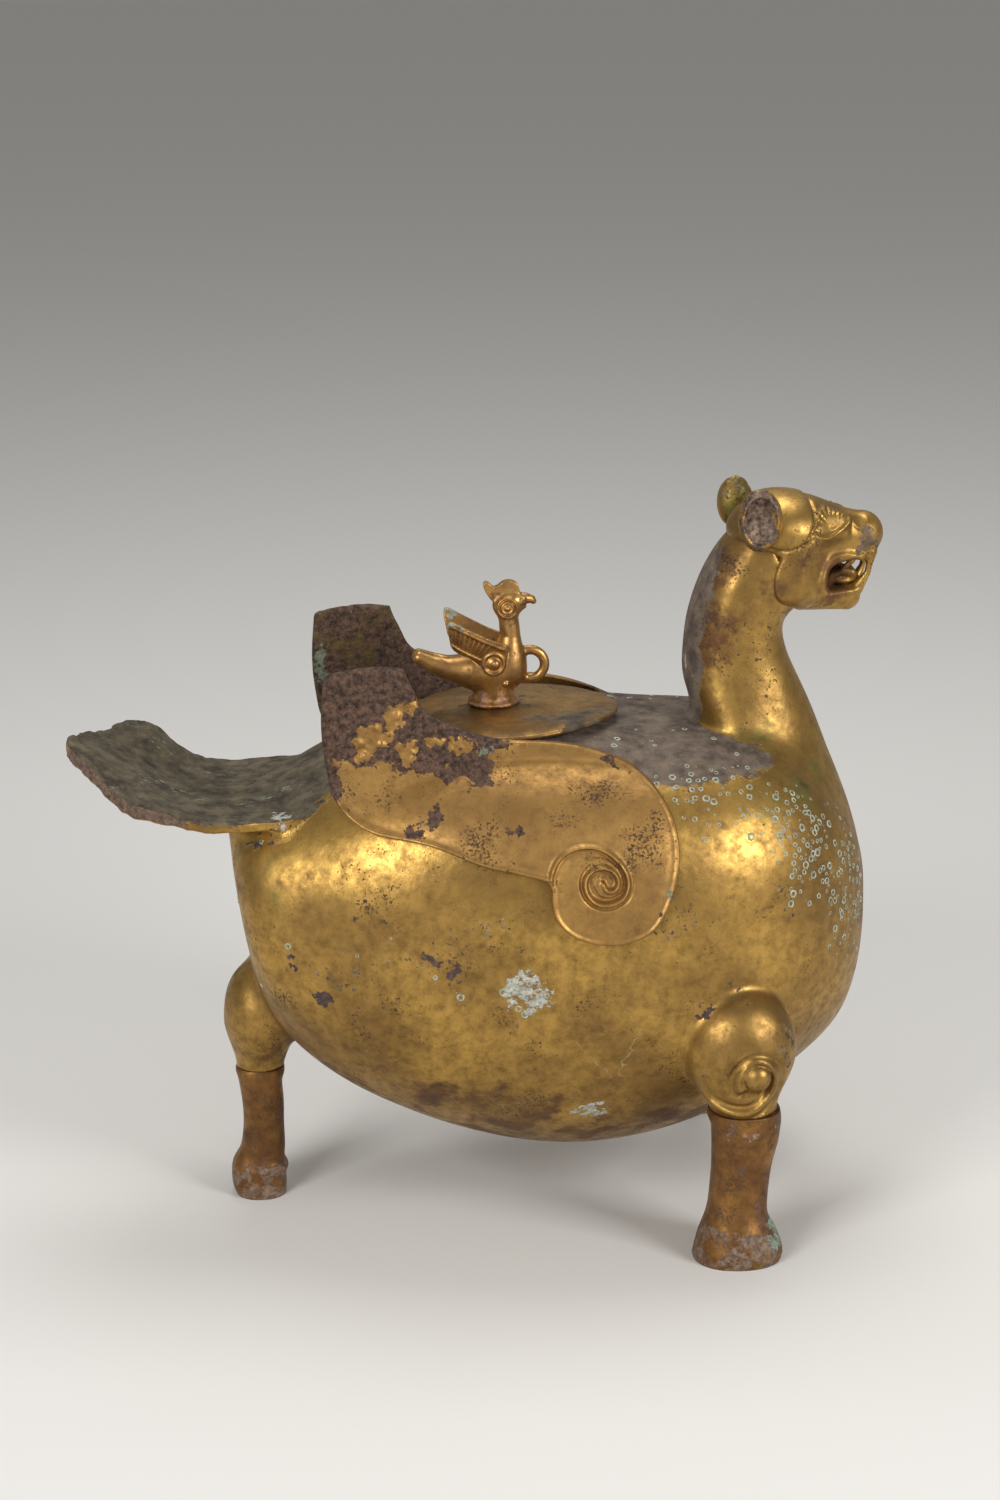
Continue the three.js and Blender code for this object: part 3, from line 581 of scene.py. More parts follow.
class Finish:
    """The node tree of one finish as it grows: the metal first, then layer over layer."""

    def __init__(self, name: str) -> None:
        """Start a material with its coordinates in frame millimetres."""
        self.material = bpy.data.materials.new(name)
        self.material.use_nodes = True
        self.tree = self.material.node_tree
        self.shader = self.tree.nodes["Principled BSDF"]
        where = add(self.tree, "ShaderNodeTexCoord")
        self.facing = where.outputs["Normal"]
        self.place = add(self.tree, VECTOR, {0: where.outputs["Object"], "Scale": 1000.0},
                         operation="SCALE").outputs["Vector"]
        # Ragged borders: swells of 6 mm push the place about by a few millimetres before zones read it
        shake = add(self.tree, NOISE, {"Vector": self.place, "Scale": 0.17, "Detail": 5.0, "Roughness": 0.6})
        shake = add(self.tree, VECTOR, {0: shake.outputs["Color"], 1: (0.5, 0.5, 0.5)},
                    operation="SUBTRACT").outputs[0]
        self.shaken = add(self.tree, VECTOR, {0: shake, 1: (20.0, 20.0, 20.0), 2: self.place},
                          operation="MULTIPLY_ADD").outputs[0]
        self.known_clouds: dict[float, Socket] = {}
        self.colour: Socket | None = None
        self.values: dict[str, Socket] = {}

    def clouds(self, size_mm: float) -> Socket:
        """Return clouds between 0 and 1 whose swells are a size across, the same for every layer."""
        if size_mm not in self.known_clouds:
            noise = add(self.tree, NOISE, {"Vector": self.place, "Scale": 1 / size_mm, "Detail": 4.0,
                                           "Roughness": 0.68}).outputs[0]
            self.known_clouds[size_mm] = add(self.tree, RANGE, {0: noise, 1: 0.36, 2: 0.64}).outputs[0]
        return self.known_clouds[size_mm]

    def cover(self, layer: Layer) -> float | Socket:
        """Return how much of the surface a layer covers at each place."""
        tree = self.tree
        amount: float | Socket = layer.cover
        for zone in layer.zones:
            away = add(tree, VECTOR, {0: self.shaken, 1: zone.centre}, operation="SUBTRACT").outputs[0]
            away = add(tree, VECTOR, {0: away, 1: zone.radii}, operation="DIVIDE").outputs[0]
            away = add(tree, VECTOR, {0: away}, operation="LENGTH").outputs["Value"]
            # A zone fades between three quarters of its radii and 1.2 times them
            near = add(tree, RANGE, {0: away, 1: 1.2, 2: 0.75, 3: 0.0, 4: zone.strength}).outputs[0]
            if zone.facing:
                turn = add(tree, VECTOR, {0: self.facing, 1: zone.facing},
                           operation="DOT_PRODUCT").outputs["Value"]
                turn = add(tree, RANGE, {0: turn, 1: zone.turned[0], 2: zone.turned[1]}).outputs[0]
                near = add(tree, MATH, {0: near, 1: turn}, operation="MULTIPLY").outputs[0]
            amount = add(tree, MATH, {0: amount, 1: near}, operation="ADD").outputs[0]
        if layer.cluster_mm:
            crowd = add(tree, NOISE, {"Vector": self.place, "Scale": 1 / layer.cluster_mm,
                                      "Detail": 2.0}).outputs[0]
            crowd = add(tree, MATH, {0: crowd, 1: 1.3, 2: -0.65}, operation="MULTIPLY_ADD").outputs[0]
            amount = add(tree, MATH, {0: amount, 1: crowd}, operation="ADD").outputs[0]
        return amount

    def mask(self, layer: Layer, seed: float) -> Socket:
        """Return where a layer shows, between 0 and 1."""
        tree = self.tree
        amount = self.cover(layer)
        cracked = layer.pattern is Pattern.CRACK
        # Cracks wander: the cells that they run between are bent by the mean of the place and the shaken one
        source = add(tree, MIX, {0: 0.5, 4: self.place, 5: self.shaken},
                     data_type="VECTOR").outputs[1] if cracked else self.place
        moved = add(tree, "ShaderNodeMapping", {
            "Vector": source, "Location": (seed * 37.0, seed * 91.0, seed * 53.0),
            "Scale": tuple(s / layer.size_mm for s in layer.stretch)}).outputs[0]
        if cracked:
            gap = add(tree, CELLS, {"Vector": moved, "Scale": 1.0},
                      feature="DISTANCE_TO_EDGE").outputs["Distance"]
            # A crack is drawn 0.4 mm to each side, wider than the real hair line, so that it shows
            line = add(tree, RANGE, {0: gap, 1: 0.4 / layer.size_mm, 2: 0.1 / layer.size_mm}).outputs[0]
            grows = add(tree, RANGE, {0: amount, 1: 0.3, 2: 0.8}).outputs[0]
            return add(tree, MATH, {0: line, 1: grows}, operation="MULTIPLY").outputs[0]
        grain = add(tree, NOISE, {"Vector": moved, "Scale": 1.0, "Detail": 6.0, "Roughness": 0.62}).outputs[0]
        # Cover 0 keeps all the noise below the cut, and cover 1 lifts all of it over
        lifted = add(tree, MATH, {0: amount, 1: 0.62, 2: -0.81}, operation="MULTIPLY_ADD").outputs[0]
        level = add(tree, MATH, {0: grain, 1: lifted}, operation="ADD").outputs[0]
        return add(tree, RANGE, {0: level, 1: 0.0, 2: layer.soft}, interpolation_type="SMOOTHSTEP").outputs[0]

    def lay(self, layer: Layer, seed: float) -> None:
        """Lay a layer over what is there."""
        tree = self.tree
        share = self.mask(layer, seed)
        tone = self.clouds(9.0 if layer.size_mm > 9 else 2.5)
        own = add(tree, MIX, {0: tone, 6: srgb(layer.dark), 7: srgb(layer.light)},
                  data_type="RGBA").outputs[2]
        self.colour = add(tree, MIX, {0: share, 6: self.colour, 7: own}, data_type="RGBA").outputs[2]
        for name, value in (("rough", layer.roughness), ("metal", layer.metallic)):
            self.values[name] = add(tree, MIX, {0: share, 2: self.values[name], 3: value}).outputs[0]
        if layer.relief_mm or layer.grit_mm:
            height = add(tree, MATH, {0: self.clouds(1.4), 1: layer.grit_mm * MM, 2: layer.relief_mm * MM},
                         operation="MULTIPLY_ADD").outputs[0]
            self.values["relief"] = add(tree, MATH, {0: share, 1: height, 2: self.values["relief"]},
                                        operation="MULTIPLY_ADD").outputs[0]


@dataclass(frozen=True)
class CastBronze:
    """Cast bronze under old mercury gilding.

    The gilding gives a warm, softly blurred shine; where it has thinned the metal is brown, and what
    has grown over it in the ground is matt.
    """

    name: str
    bright: str
    dull: str
    deep: str
    roughness: float = 0.38
    metallic: float = 0.95
    swell_mm: float = 45.0
    grain_relief_mm: float = 0.05
    layers: tuple[Layer, ...] = ()

    def build(self) -> bpy.types.Material:
        """Build the node material and return it."""
        finish = Finish(self.name)
        tree = finish.tree
        # Broad swells of thinner and thicker gilding, tens of millimetres across
        swell = add(tree, NOISE, {"Vector": finish.place, "Scale": 1 / self.swell_mm, "Detail": 5.0,
                                  "Roughness": 0.55}).outputs[0]
        swell = add(tree, RANGE, {0: swell, 1: 0.38, 2: 0.62}).outputs[0]
        # Rubbing: clouds of 6 mm that break up into a fine tooth
        rubbed = add(tree, NOISE, {"Vector": finish.place, "Scale": 0.17, "Detail": 9.0,
                                   "Roughness": 0.7}).outputs[0]
        rubbed = add(tree, RANGE, {0: rubbed, 1: 0.4, 2: 0.72, 3: 0.0, 4: 0.8}).outputs[0]
        metal = add(tree, MIX, {0: swell, 6: srgb(self.bright), 7: srgb(self.dull)},
                    data_type="RGBA").outputs[2]
        finish.colour = add(tree, MIX, {0: rubbed, 6: metal, 7: srgb(self.deep)}, data_type="RGBA").outputs[2]
        finish.values["rough"] = add(tree, MATH, {0: rubbed, 1: 0.22, 2: self.roughness},
                                     operation="MULTIPLY_ADD").outputs[0]
        finish.values["metal"] = add(tree, MATH, {0: rubbed, 1: -0.15, 2: self.metallic},
                                     operation="MULTIPLY_ADD").outputs[0]
        # The casting's skin: grain of 0.9 mm, over faint dents of 8 mm
        grain = add(tree, NOISE, {"Vector": finish.place, "Scale": 1.1, "Detail": 3.0}).outputs[0]
        grain = add(tree, MATH, {0: grain, 1: self.grain_relief_mm * MM}, operation="MULTIPLY").outputs[0]
        dents = add(tree, NOISE, {"Vector": finish.place, "Scale": 0.12, "Detail": 2.0}).outputs[0]
        finish.values["relief"] = add(tree, MATH, {0: dents, 1: 0.3 * MM, 2: grain},
                                      operation="MULTIPLY_ADD").outputs[0]
        for number, layer in enumerate(self.layers):
            finish.lay(layer, number + 1.0)
        bump = add(tree, "ShaderNodeBump", {"Height": finish.values["relief"], "Distance": 1.0,
                                            "Strength": 1.0})
        tree.links.new(finish.colour, finish.shader.inputs["Base Color"])
        tree.links.new(finish.values["rough"], finish.shader.inputs["Roughness"])
        tree.links.new(finish.values["metal"], finish.shader.inputs["Metallic"])
        tree.links.new(bump.outputs[0], finish.shader.inputs["Normal"])
        return finish.material


UP, DOWN, BACK, AHEAD = (0, 0, 1), (0, 0, -1), (-0.98, 0, 0.2), (1, 0, 0)
RIGHT, LEFT = (0, -1, 0), (0, 1, 0)

# Wear and growth, and a painted shade under the belly, that several castings share. Sizes are the real ones,
# in millimetres.
SPECKS = Layer(1.3, 0.22, "3A2817", "5E4426", 0.65, 0.5, -0.05, soft=0.08, cluster_mm=24,
               zones=(Zone((130, 0, 288), (62, 60, 56), 0.09),))
PITS = Layer(2.8, 0.1, "35261B", "584334", 0.72, 0.35, -0.1, 0.05, 0.06, cluster_mm=40,
             zones=(Zone((126, 0, 284), (60, 60, 54), 0.14),))
# Real brown stains, thicker on the neck and the cheeks, and painted shade: the first zone browns every face
# that looks down on the lower belly and the legs, as if it lay in shadow
BROWN_STAINS_AND_UNDERSIDE_SHADE = Layer(18, 0.32, "5A3E28", "75532F", 0.55, 0.7, 0.04, soft=0.16, zones=(
    Zone((10, 0, 60), (160, 110, 60), 0.3, DOWN, (-0.2, 0.8)),
    Zone((108, 0, 292), (26, 40, 50), 0.42), Zone((156, 0, 306), (26, 60, 18), 0.24)))
OLIVE_FILM = Layer(26, 0.16, "5A5429", "7C7336", 0.5, 0.7, 0.03, soft=0.2, zones=(
    Zone((118, 0, 218), (58, 110, 30), 0.34), Zone((-95, 0, 185), (34, 90, 32), 0.3),
    Zone((126, 20, 340), (12, 14, 18), 0.6, RIGHT, (0.0, 0.5))))
BACK_CRUST = Layer(17, -0.1, "4B3E37", "776858", 0.8, 0.2, 0.22, 0.16, 0.07, zones=(
    Zone((40, 0, 245), (175, 110, 42), 1.2, UP, (0.5, 1.02)),
    Zone((96, 0, 285), (26, 34, 66), 1.05, BACK, (0.38, 0.95)),
    Zone((182, 0, 165), (34, 80, 85), 0.66, AHEAD, (0.78, 1.0))))
RIM_CRUST = Layer(7, -0.3, "4E3A30", "7E6756", 0.82, 0.15, 0.2, 0.3, 0.06, zones=(
    Zone((-165, 0, 222), (46, 70, 36), 1.25, UP, (-0.75, -0.3)),
    Zone((-118, 0, 206), (34, 70, 18), 0.75, UP, (-0.4, 0.2)),
    Zone((-125, -50, 203.5), (5, 6, 4), -1.3), Zone((-188, -6, 232), (6, 8, 5), -0.9)))
TAIL_CRUST = Layer(20, -0.15, "372F23", "6B604A", 0.76, 0.25, 0.15, 0.14, 0.08, zones=(
    Zone((-135, 0, 226), (84, 80, 46), 1.35, UP, (0.3, 0.62)),))
LONG_STREAKS = Layer(2.2, -0.1, "6E6F5C", "9C9D88", 0.85, 0.05, 0.12, 0.05, 0.12,
                     (0.3, 1.0, 1.0), 22, zones=(
                         Zone((-140, 0, 224), (80, 80, 44), 0.34, UP, (0.3, 0.62)),
                         Zone((60, 0, 248), (110, 100, 26), 0.3, UP, (0.7, 0.95))))
TALL_STREAKS = Layer(2.2, -0.25, "858072", "B9B5A6", 0.85, 0.05, 0.12, 0.05, 0.1,
                     (1.0, 1.0, 0.4), 18, zones=(
                         Zone((98, 0, 285), (24, 34, 62), 0.5, BACK, (0.6, 0.9)),
                         Zone((182, 0, 160), (34, 80, 85), 0.58, AHEAD, (0.84, 0.99))))
PALE_PATCHES = Layer(5.5, -0.35, "85827A", "BDBBAF", 0.85, 0.05, 0.16, 0.12, 0.05, zones=(
    Zone((17, -97, 137), (15, 16, 12), 0.95), Zone((48, -80, 71), (11, 16, 5), 0.9),
    Zone((-15, -94, 133), (6, 14, 7), 0.8), Zone((-94, -45, 207), (4, 8, 4), 1.1),
    Zone((152, -68, 192), (26, 30, 32), 0.46), Zone((150, 68, 190), (30, 30, 30), 0.5)))
DARK_PATCHES = Layer(6, -0.35, "3A2B28", "5C4843", 0.78, 0.25, 0.12, 0.1, 0.05, zones=(
    Zone((-91, -67, 146), (4, 10, 5), 1.0), Zone((-77, -73, 128), (6, 12, 5), 1.0),
    Zone((97, -96, 126), (5, 12, 4), 1.0), Zone((-32, -91, 153), (12, 14, 5), 0.8),
    Zone((-16, -94, 150), (6, 12, 9), 0.86), Zone((-54, -83, 174), (9, 12, 6), 0.75),
    Zone((-101, -47, 198), (7, 9, 4), 0.8), Zone((116, 90, 132), (14, 20, 5), 0.7),
    Zone((114, -90, 137), (9, 20, 3.5), 0.8), Zone((90, 78, 160), (18, 20, 12), 0.6)))
FACE_PATCHES = Layer(7, -0.4, "40352D", "6E5F51", 0.7, 0.4, 0.05, 0.1, 0.34, zones=(
    Zone((184, 0, 325), (9.5, 18, 8.5), 1.35), Zone((150, -20, 310), (8, 9, 8), 0.62),
    Zone((169, -12, 339), (8, 8, 5.5), 0.85), Zone((169, 12, 339), (8, 8, 5.5), 0.85)))
EAR_SHADE = Layer(5, -0.4, "3E2D27", "85705F", 0.5, 0.6, 0.05, 0.1, 0.14, zones=(
    Zone((130, -27, 341), (10.5, 9, 18), 1.25, RIGHT, (-0.3, 0.1)),
    Zone((125, 27, 337), (10.5, 9, 18), 1.25, LEFT, (-0.3, 0.1))))
CRACKS = Layer(27, -0.3, "8A744C", "AD986B", 0.75, 0.3, -0.05, cluster_mm=14, pattern=Pattern.CRACK, zones=(
    Zone((54, -98, 112), (20, 16, 24), 0.95), Zone((6, -77, 74), (24, 20, 10), 0.9),
    Zone((30, 90, 110), (40, 20, 30), 0.8)))
GRIT = Layer(5, 0.1, "5D4A3A", "85725A", 0.75, 0.3, 0.08, 0.05, 0.05, cluster_mm=40)

GILDING = CastBronze(
    "worn_mercury_gilding", "BF9850", "967541", "5F4722",
    layers=(BROWN_STAINS_AND_UNDERSIDE_SHADE, OLIVE_FILM, GRIT, SPECKS, PITS, BACK_CRUST, RIM_CRUST, TAIL_CRUST, LONG_STREAKS,
            TALL_STREAKS, PALE_PATCHES, DARK_PATCHES, FACE_PATCHES, EAR_SHADE, CRACKS))
WING_GILDING = CastBronze(
    "wing_gilding", "BA9152", "987444", "664A2C", 0.45, swell_mm=60,
    layers=(
        replace(SPECKS, cover=0.27), replace(PITS, cover=0.15),
        Layer(9, -0.22, "33241D", "7A5C4A", 0.82, 0.15, 0.4, 0.8, 0.03, zones=(
            Zone((-60, 0, 268.5), (52, 150, 38), 1.1), Zone((-18, 0, 246), (26, 150, 19), 0.95),
            Zone((5, 0, 249), (14, 150, 7), 0.75), Zone((-74, 0, 229), (8, 150, 17), 1.0),
            Zone((-4, 0, 236), (8, 150, 8.5), 1.0), Zone((60, 0, 236), (9, 150, 5), 0.7),
            Zone((-52, -80, 249.5), (9, 72, 5.5), -1.25), Zone((-57, -80, 242.5), (4.5, 72, 3.4), -1.1),
            Zone((-36, -80, 244.5), (5, 72, 6), -1.25), Zone((-42, -80, 257.5), (4, 72, 6.5), -1.2),
            Zone((-35, -80, 264.5), (5, 72, 3.4), -1.1), Zone((-24, -80, 248.5), (4.5, 72, 3.4), -1.1),
            Zone((-11, -80, 246), (7, 72, 2.6), -0.8), Zone((-48, -80, 235), (3, 72, 5), -0.9),
            Zone((-33, 0, 211), (5.5, 150, 5), 1.05), Zone((-24.5, 0, 217), (5, 150, 5.5), 1.05),
            Zone((11.5, 0, 212.5), (4.5, 150, 2.8), 0.95))),
        Layer(15, -0.2, "54462A", "8A7240", 0.66, 0.5, 0.0, 0.2, 0.2, zones=(
            Zone((-54, 75, 262), (40, 66, 34), 0.72), Zone((-56, -75, 262), (46, 66, 34), 0.5))),
        Layer(1.7, -0.35, "8F7866", "B39C88", 0.85, 0.1, 0.12, 0.1, 0.12, zones=(
            Zone((-50, 0, 260), (46, 150, 34), 0.55),)),
        Layer(4, -0.3, "64705A", "929B84", 0.85, 0.05, 0.1, 0.1, 0.1, zones=(
            Zone((-74, 0, 252), (6, 150, 30), 0.55), Zone((0, 0, 243), (6, 150, 5), 0.85),
            Zone((-52, 0, 282), (26, 150, 3), 0.55),
            Zone((-40, 60, 256), (40, 24, 24), 0.5), Zone((80, 0, 186), (4, 150, 7), 0.8)))))
BROWN_BRONZE = CastBronze(
    "brown_leg_bronze", "9A6F3B", "74502F", "412D20", 0.42, 0.85, 18,
    layers=(
        BROWN_STAINS_AND_UNDERSIDE_SHADE,
        Layer(9, 0.4, "4E3A30", "735848", 0.7, 0.35, 0.08, 0.12, 0.12),
        Layer(7, -0.1, "5E4B3D", "937B66", 0.8, 0.2, 0.15, 0.25, 0.1, zones=(
            Zone((10, 0, -3), (420, 300, 28), 0.72), Zone((10, 0, 73), (420, 300, 12), 0.4))),
        Layer(6, -0.3, "84705F", "A6917D", 0.8, 0.15, 0.12, 0.1, 0.1, zones=(
            Zone((120, 0, 67), (30, 150, 9), 0.75), Zone((-104, 0, 62), (20, 40, 7), 0.5))),
        Layer(5, -0.3, "5F7263", "A3B0A0", 0.85, 0.05, 0.15, 0.15, 0.06, zones=(
            Zone((133, 0, 13), (9, 150, 17), 0.95, AHEAD, (0.1, 0.5)),)),
        SPECKS, PITS))
OLIVE_BRONZE = CastBronze(
    "olive_lid_bronze", "A17D45", "7C5F36", "483421", 0.42, 0.85, 26,
    layers=(
        replace(BROWN_STAINS_AND_UNDERSIDE_SHADE, cover=0.42), SPECKS,
        Layer(12, 0.2, "3B3126", "6A5A44", 0.76, 0.25, 0.1, 0.1, 0.1, zones=(
            Zone((50, -30, 244), (34, 18, 20), 0.4), Zone((10, 0, 247), (18, 16, 8), 0.35))), GRIT))
BIRD_GILDING = CastBronze(
    "bird_gilding", "C79A5A", "A37A48", "64452C", 0.36, 0.95, 11, 0.03,
    layers=(
        replace(SPECKS, cover=0.2),
        Layer(3.2, 0.42, "5A3F28", "7E5C3C", 0.55, 0.6, -0.04, soft=0.2, cluster_mm=9),
        Layer(5, -0.2, "8A6349", "B48A6C", 0.5, 0.7, 0.08, 0.1, 0.12, zones=(
            Zone((9.8, 0, 249), (20, 20, 8), 0.8), Zone((22, 0, 262), (7, 14, 9), 0.5))),
        Layer(4, -0.3, "6E7466", "A2A794", 0.8, 0.1, 0.1, 0.1, 0.06, zones=(
            Zone((-11, 0, 290), (6, 30, 6), 0.9), Zone((3, 0, 306), (4, 6, 4), 0.8)))))


@dataclass(frozen=True)
class Verdigris:
    """Basic copper carbonate, pale, dry and chalky, grown in little rings."""

    name: str = "chalky_verdigris"
    dark: str = "798070"
    light: str = "B7BBA8"

    def build(self) -> bpy.types.Material:
        """Build the node material and return it."""
        finish = Finish(self.name)
        tree = finish.tree
        colour = add(tree, MIX, {0: finish.clouds(2.5), 6: srgb(self.dark), 7: srgb(self.light)},
                     data_type="RGBA").outputs[2]
        height = add(tree, MATH, {0: finish.clouds(1.4), 1: 0.12 * MM}, operation="MULTIPLY").outputs[0]
        bump = add(tree, "ShaderNodeBump", {"Height": height, "Distance": 1.0})
        tree.links.new(colour, finish.shader.inputs["Base Color"])
        tree.links.new(bump.outputs[0], finish.shader.inputs["Normal"])
        finish.shader.inputs["Roughness"].default_value = 0.9
        return finish.material


# The castings, from the belly outwards


class Kit:
    """What the castings share: the shift to the frame, the belly's skin and the finished materials."""

    def __init__(self) -> None:
        """Measure the shift and build the finishes."""
        low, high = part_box("rear_leg")
        self.shift = (low.x + high.x) / 2 / MM - REAR_LEG_X
        self.gilding = GILDING.build()
        self.wing = WING_GILDING.build()
        self.brown = BROWN_BRONZE.build()
        self.olive = OLIVE_BRONZE.build()
        self.bird = BIRD_GILDING.build()
        self.verdigris = Verdigris().build()
        self.belly = Belly().outer()
        self.belly_tree = self.belly.tree()

    def finish(self, piece: bpy.types.Object, material: bpy.types.Material, slot: str,
               body: str, *nodes: str) -> None:
        """Dress a piece, tie it to its body and hide the nodes that it stands for."""
        piece.data.materials.clear()
        piece.data.materials.append(material)
        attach(piece, body)
        if nodes:
            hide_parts(*nodes)
        log.info("%s: %d faces", piece.name, len(piece.data.polygons))

    def cast(self, skin: Skin, name: str, material: bpy.types.Material, slot: str,
             body: str, *nodes: str) -> bpy.types.Object:
        """Make, dress and tie a piece in one go."""
        piece = skin.as_object(name, self.shift)
        self.finish(piece, material, slot, body, *nodes)
        return piece

    def on_belly(self, block: Block, own: Points, rounding: Value) -> Points:
        """Fillet a form into the belly and end it inside the belly's wall.

        Args:
            block: the sample points.
            own: the form's field.
            rounding: the fillet's size, one number or one for each sample.

        Returns:
            The field of the form with its fillet, whose rim runs out just under the belly's surface.
        """
        belly = block.distance_to(self.belly)
        flowing = joined(own, belly + UNDER_SKIN, rounding)
        skirt = own - rounding - 1.0
        return np.maximum(np.maximum(flowing, -(belly + SKIRT_DEPTH)), skirt)


@dataclass
class Belly:
    """The hollow egg-shaped body, open at the mouth in its back and into the neck."""

    stations: tuple = (
        (0.007, 0.663, 0.012, 0.598, 0.14), (0.0, 0.728, 0.028, 0.458, 0.42),
        (0.026, 0.798, 0.062, 0.319, 0.6), (0.099, 0.858, 0.135, 0.202, 0.73),
        (0.217, 0.942, 0.243, 0.109, 0.88), (0.381, 1.0, 0.388, 0.03, 0.97),
        (0.529, 0.998, 0.529, 0.0, 1.0), (0.67, 0.979, 0.677, 0.03, 0.99),
        (0.792, 0.965, 0.808, 0.105, 0.9), (0.89, 0.905, 0.9, 0.191, 0.73),
        (0.96, 0.788, 0.966, 0.291, 0.5), (0.992, 0.681, 0.994, 0.444, 0.26),
        (1.0, 0.607, 1.0, 0.542, 0.06),
    )
    length: float = 304.0
    height: float = 215.0
    width: float = 200.0
    clearance: float = 29.5
    rump_x: float = -116.0

    def outer(self, rings: int = 190, sides: int = 240, inset: float = 0.0) -> Skin:
        """Return the belly's outside, or its inside with an inset."""
        rows = [(self.rump_x + a * self.length, self.clearance + b * self.height,
                 self.rump_x + c * self.length, self.clearance + d * self.height, w * self.width / 2)
                for a, b, c, d, w in self.stations]
        skin = wrapped(loft(rows, rings, sides, 2.9, 2.1), 1.0, 0.4)
        return skin.grown(-inset) if inset else skin

    def build(self, kit: Kit) -> None:
        """Cast the shell and cut its mouth."""
        piece = kit.belly.as_object("belly_shell", kit.shift)
        liner = self.outer(70, 90, WALL).as_object("liner", kit.shift)
        mouth = post(LID_X, 0, MOUTH_RADIUS, BELLY_TOP - 60, BELLY_TOP + 30).as_object("mouth", kit.shift)
        bore = Neck().skin(60, 60).grown(-WALL).as_object("bore", kit.shift)
        carved(piece, [liner, mouth, bore])
        kit.finish(piece, kit.gilding, "gilt_bronze", "vessel", "belly")


def post(x: float, y: float, radius: float, low: float, high: float, sides: int = 96) -> Skin:
    """Return an upright cylinder."""
    turn = 2 * np.pi * np.arange(sides) / sides
    ring = np.stack([x + radius * np.cos(turn), y + radius * np.sin(turn), np.zeros(sides)], axis=-1)
    return wrapped(np.stack([ring + [0, 0, low], ring + [0, 0, high]]))


@dataclass
class Neck:
    """The hollow neck: creased behind where it leaves the back, and flowing into the chest in front."""

    stations: tuple = (
        (92, 221.4, 186, 159.7, 46), (104, 239.7, 183, 188.4, 40), (101, 257.6, 172, 218.4, 31.3),
        (100.5, 275.4, 160, 248.4, 25.4), (102.5, 290.6, 151, 267.6, 23.5),
        (108, 307.6, 147.5, 279.3, 23.4), (117, 323.7, 148.5, 287.6, 22.6), (131, 338.0, 157, 295.2, 20.6),
    )
    ridge: tuple = ((130, 326), (121, 310), (115, 290), (113, 268), (114, 250))
    breast_end: float = 231.0
    lowest: float = 168.0
    fineness: float = 1.0

    def skin(self, rings: int, sides: int) -> Skin:
        """Return the neck's outside, running on into the belly and the head."""
        return wrapped(loft(self.stations, rings, sides, 2.2, 2.2), 1.0, 1.0)

    def build(self, kit: Kit) -> None:
        """Cast the neck with its fillets and the soft ridge down each side."""
        block = Block((86, -50, 150), (190, 50, 340), self.fineness)
        own = block.distance_to(self.skin(90, 90))
        side = eased(np.abs(block.y), 4, 14)
        ridge = np.exp(-((block.near_line(self.ridge) / 4.0) ** 2))
        form = own - 0.45 * side * ridge
        rounding = 3.0 + 8.0 * eased(block.x, 108, 140) * eased(block.z, 190, 225)
        form = kit.on_belly(block, form, rounding)
        form = np.maximum(form, -(own + WALL))
        # Before the breast the distance to the neck's thin rim has no sure sign, so two slanting planes and
        # a level one end the casting there
        form = np.maximum(form, 0.67 * (np.abs(block.y) + 1.1 * block.x - self.breast_end))
        form = np.maximum(form, self.lowest - block.z)
        kit.cast(block.skin(form), "neck_casting", kit.gilding, "gilt_bronze", "vessel", "neck")


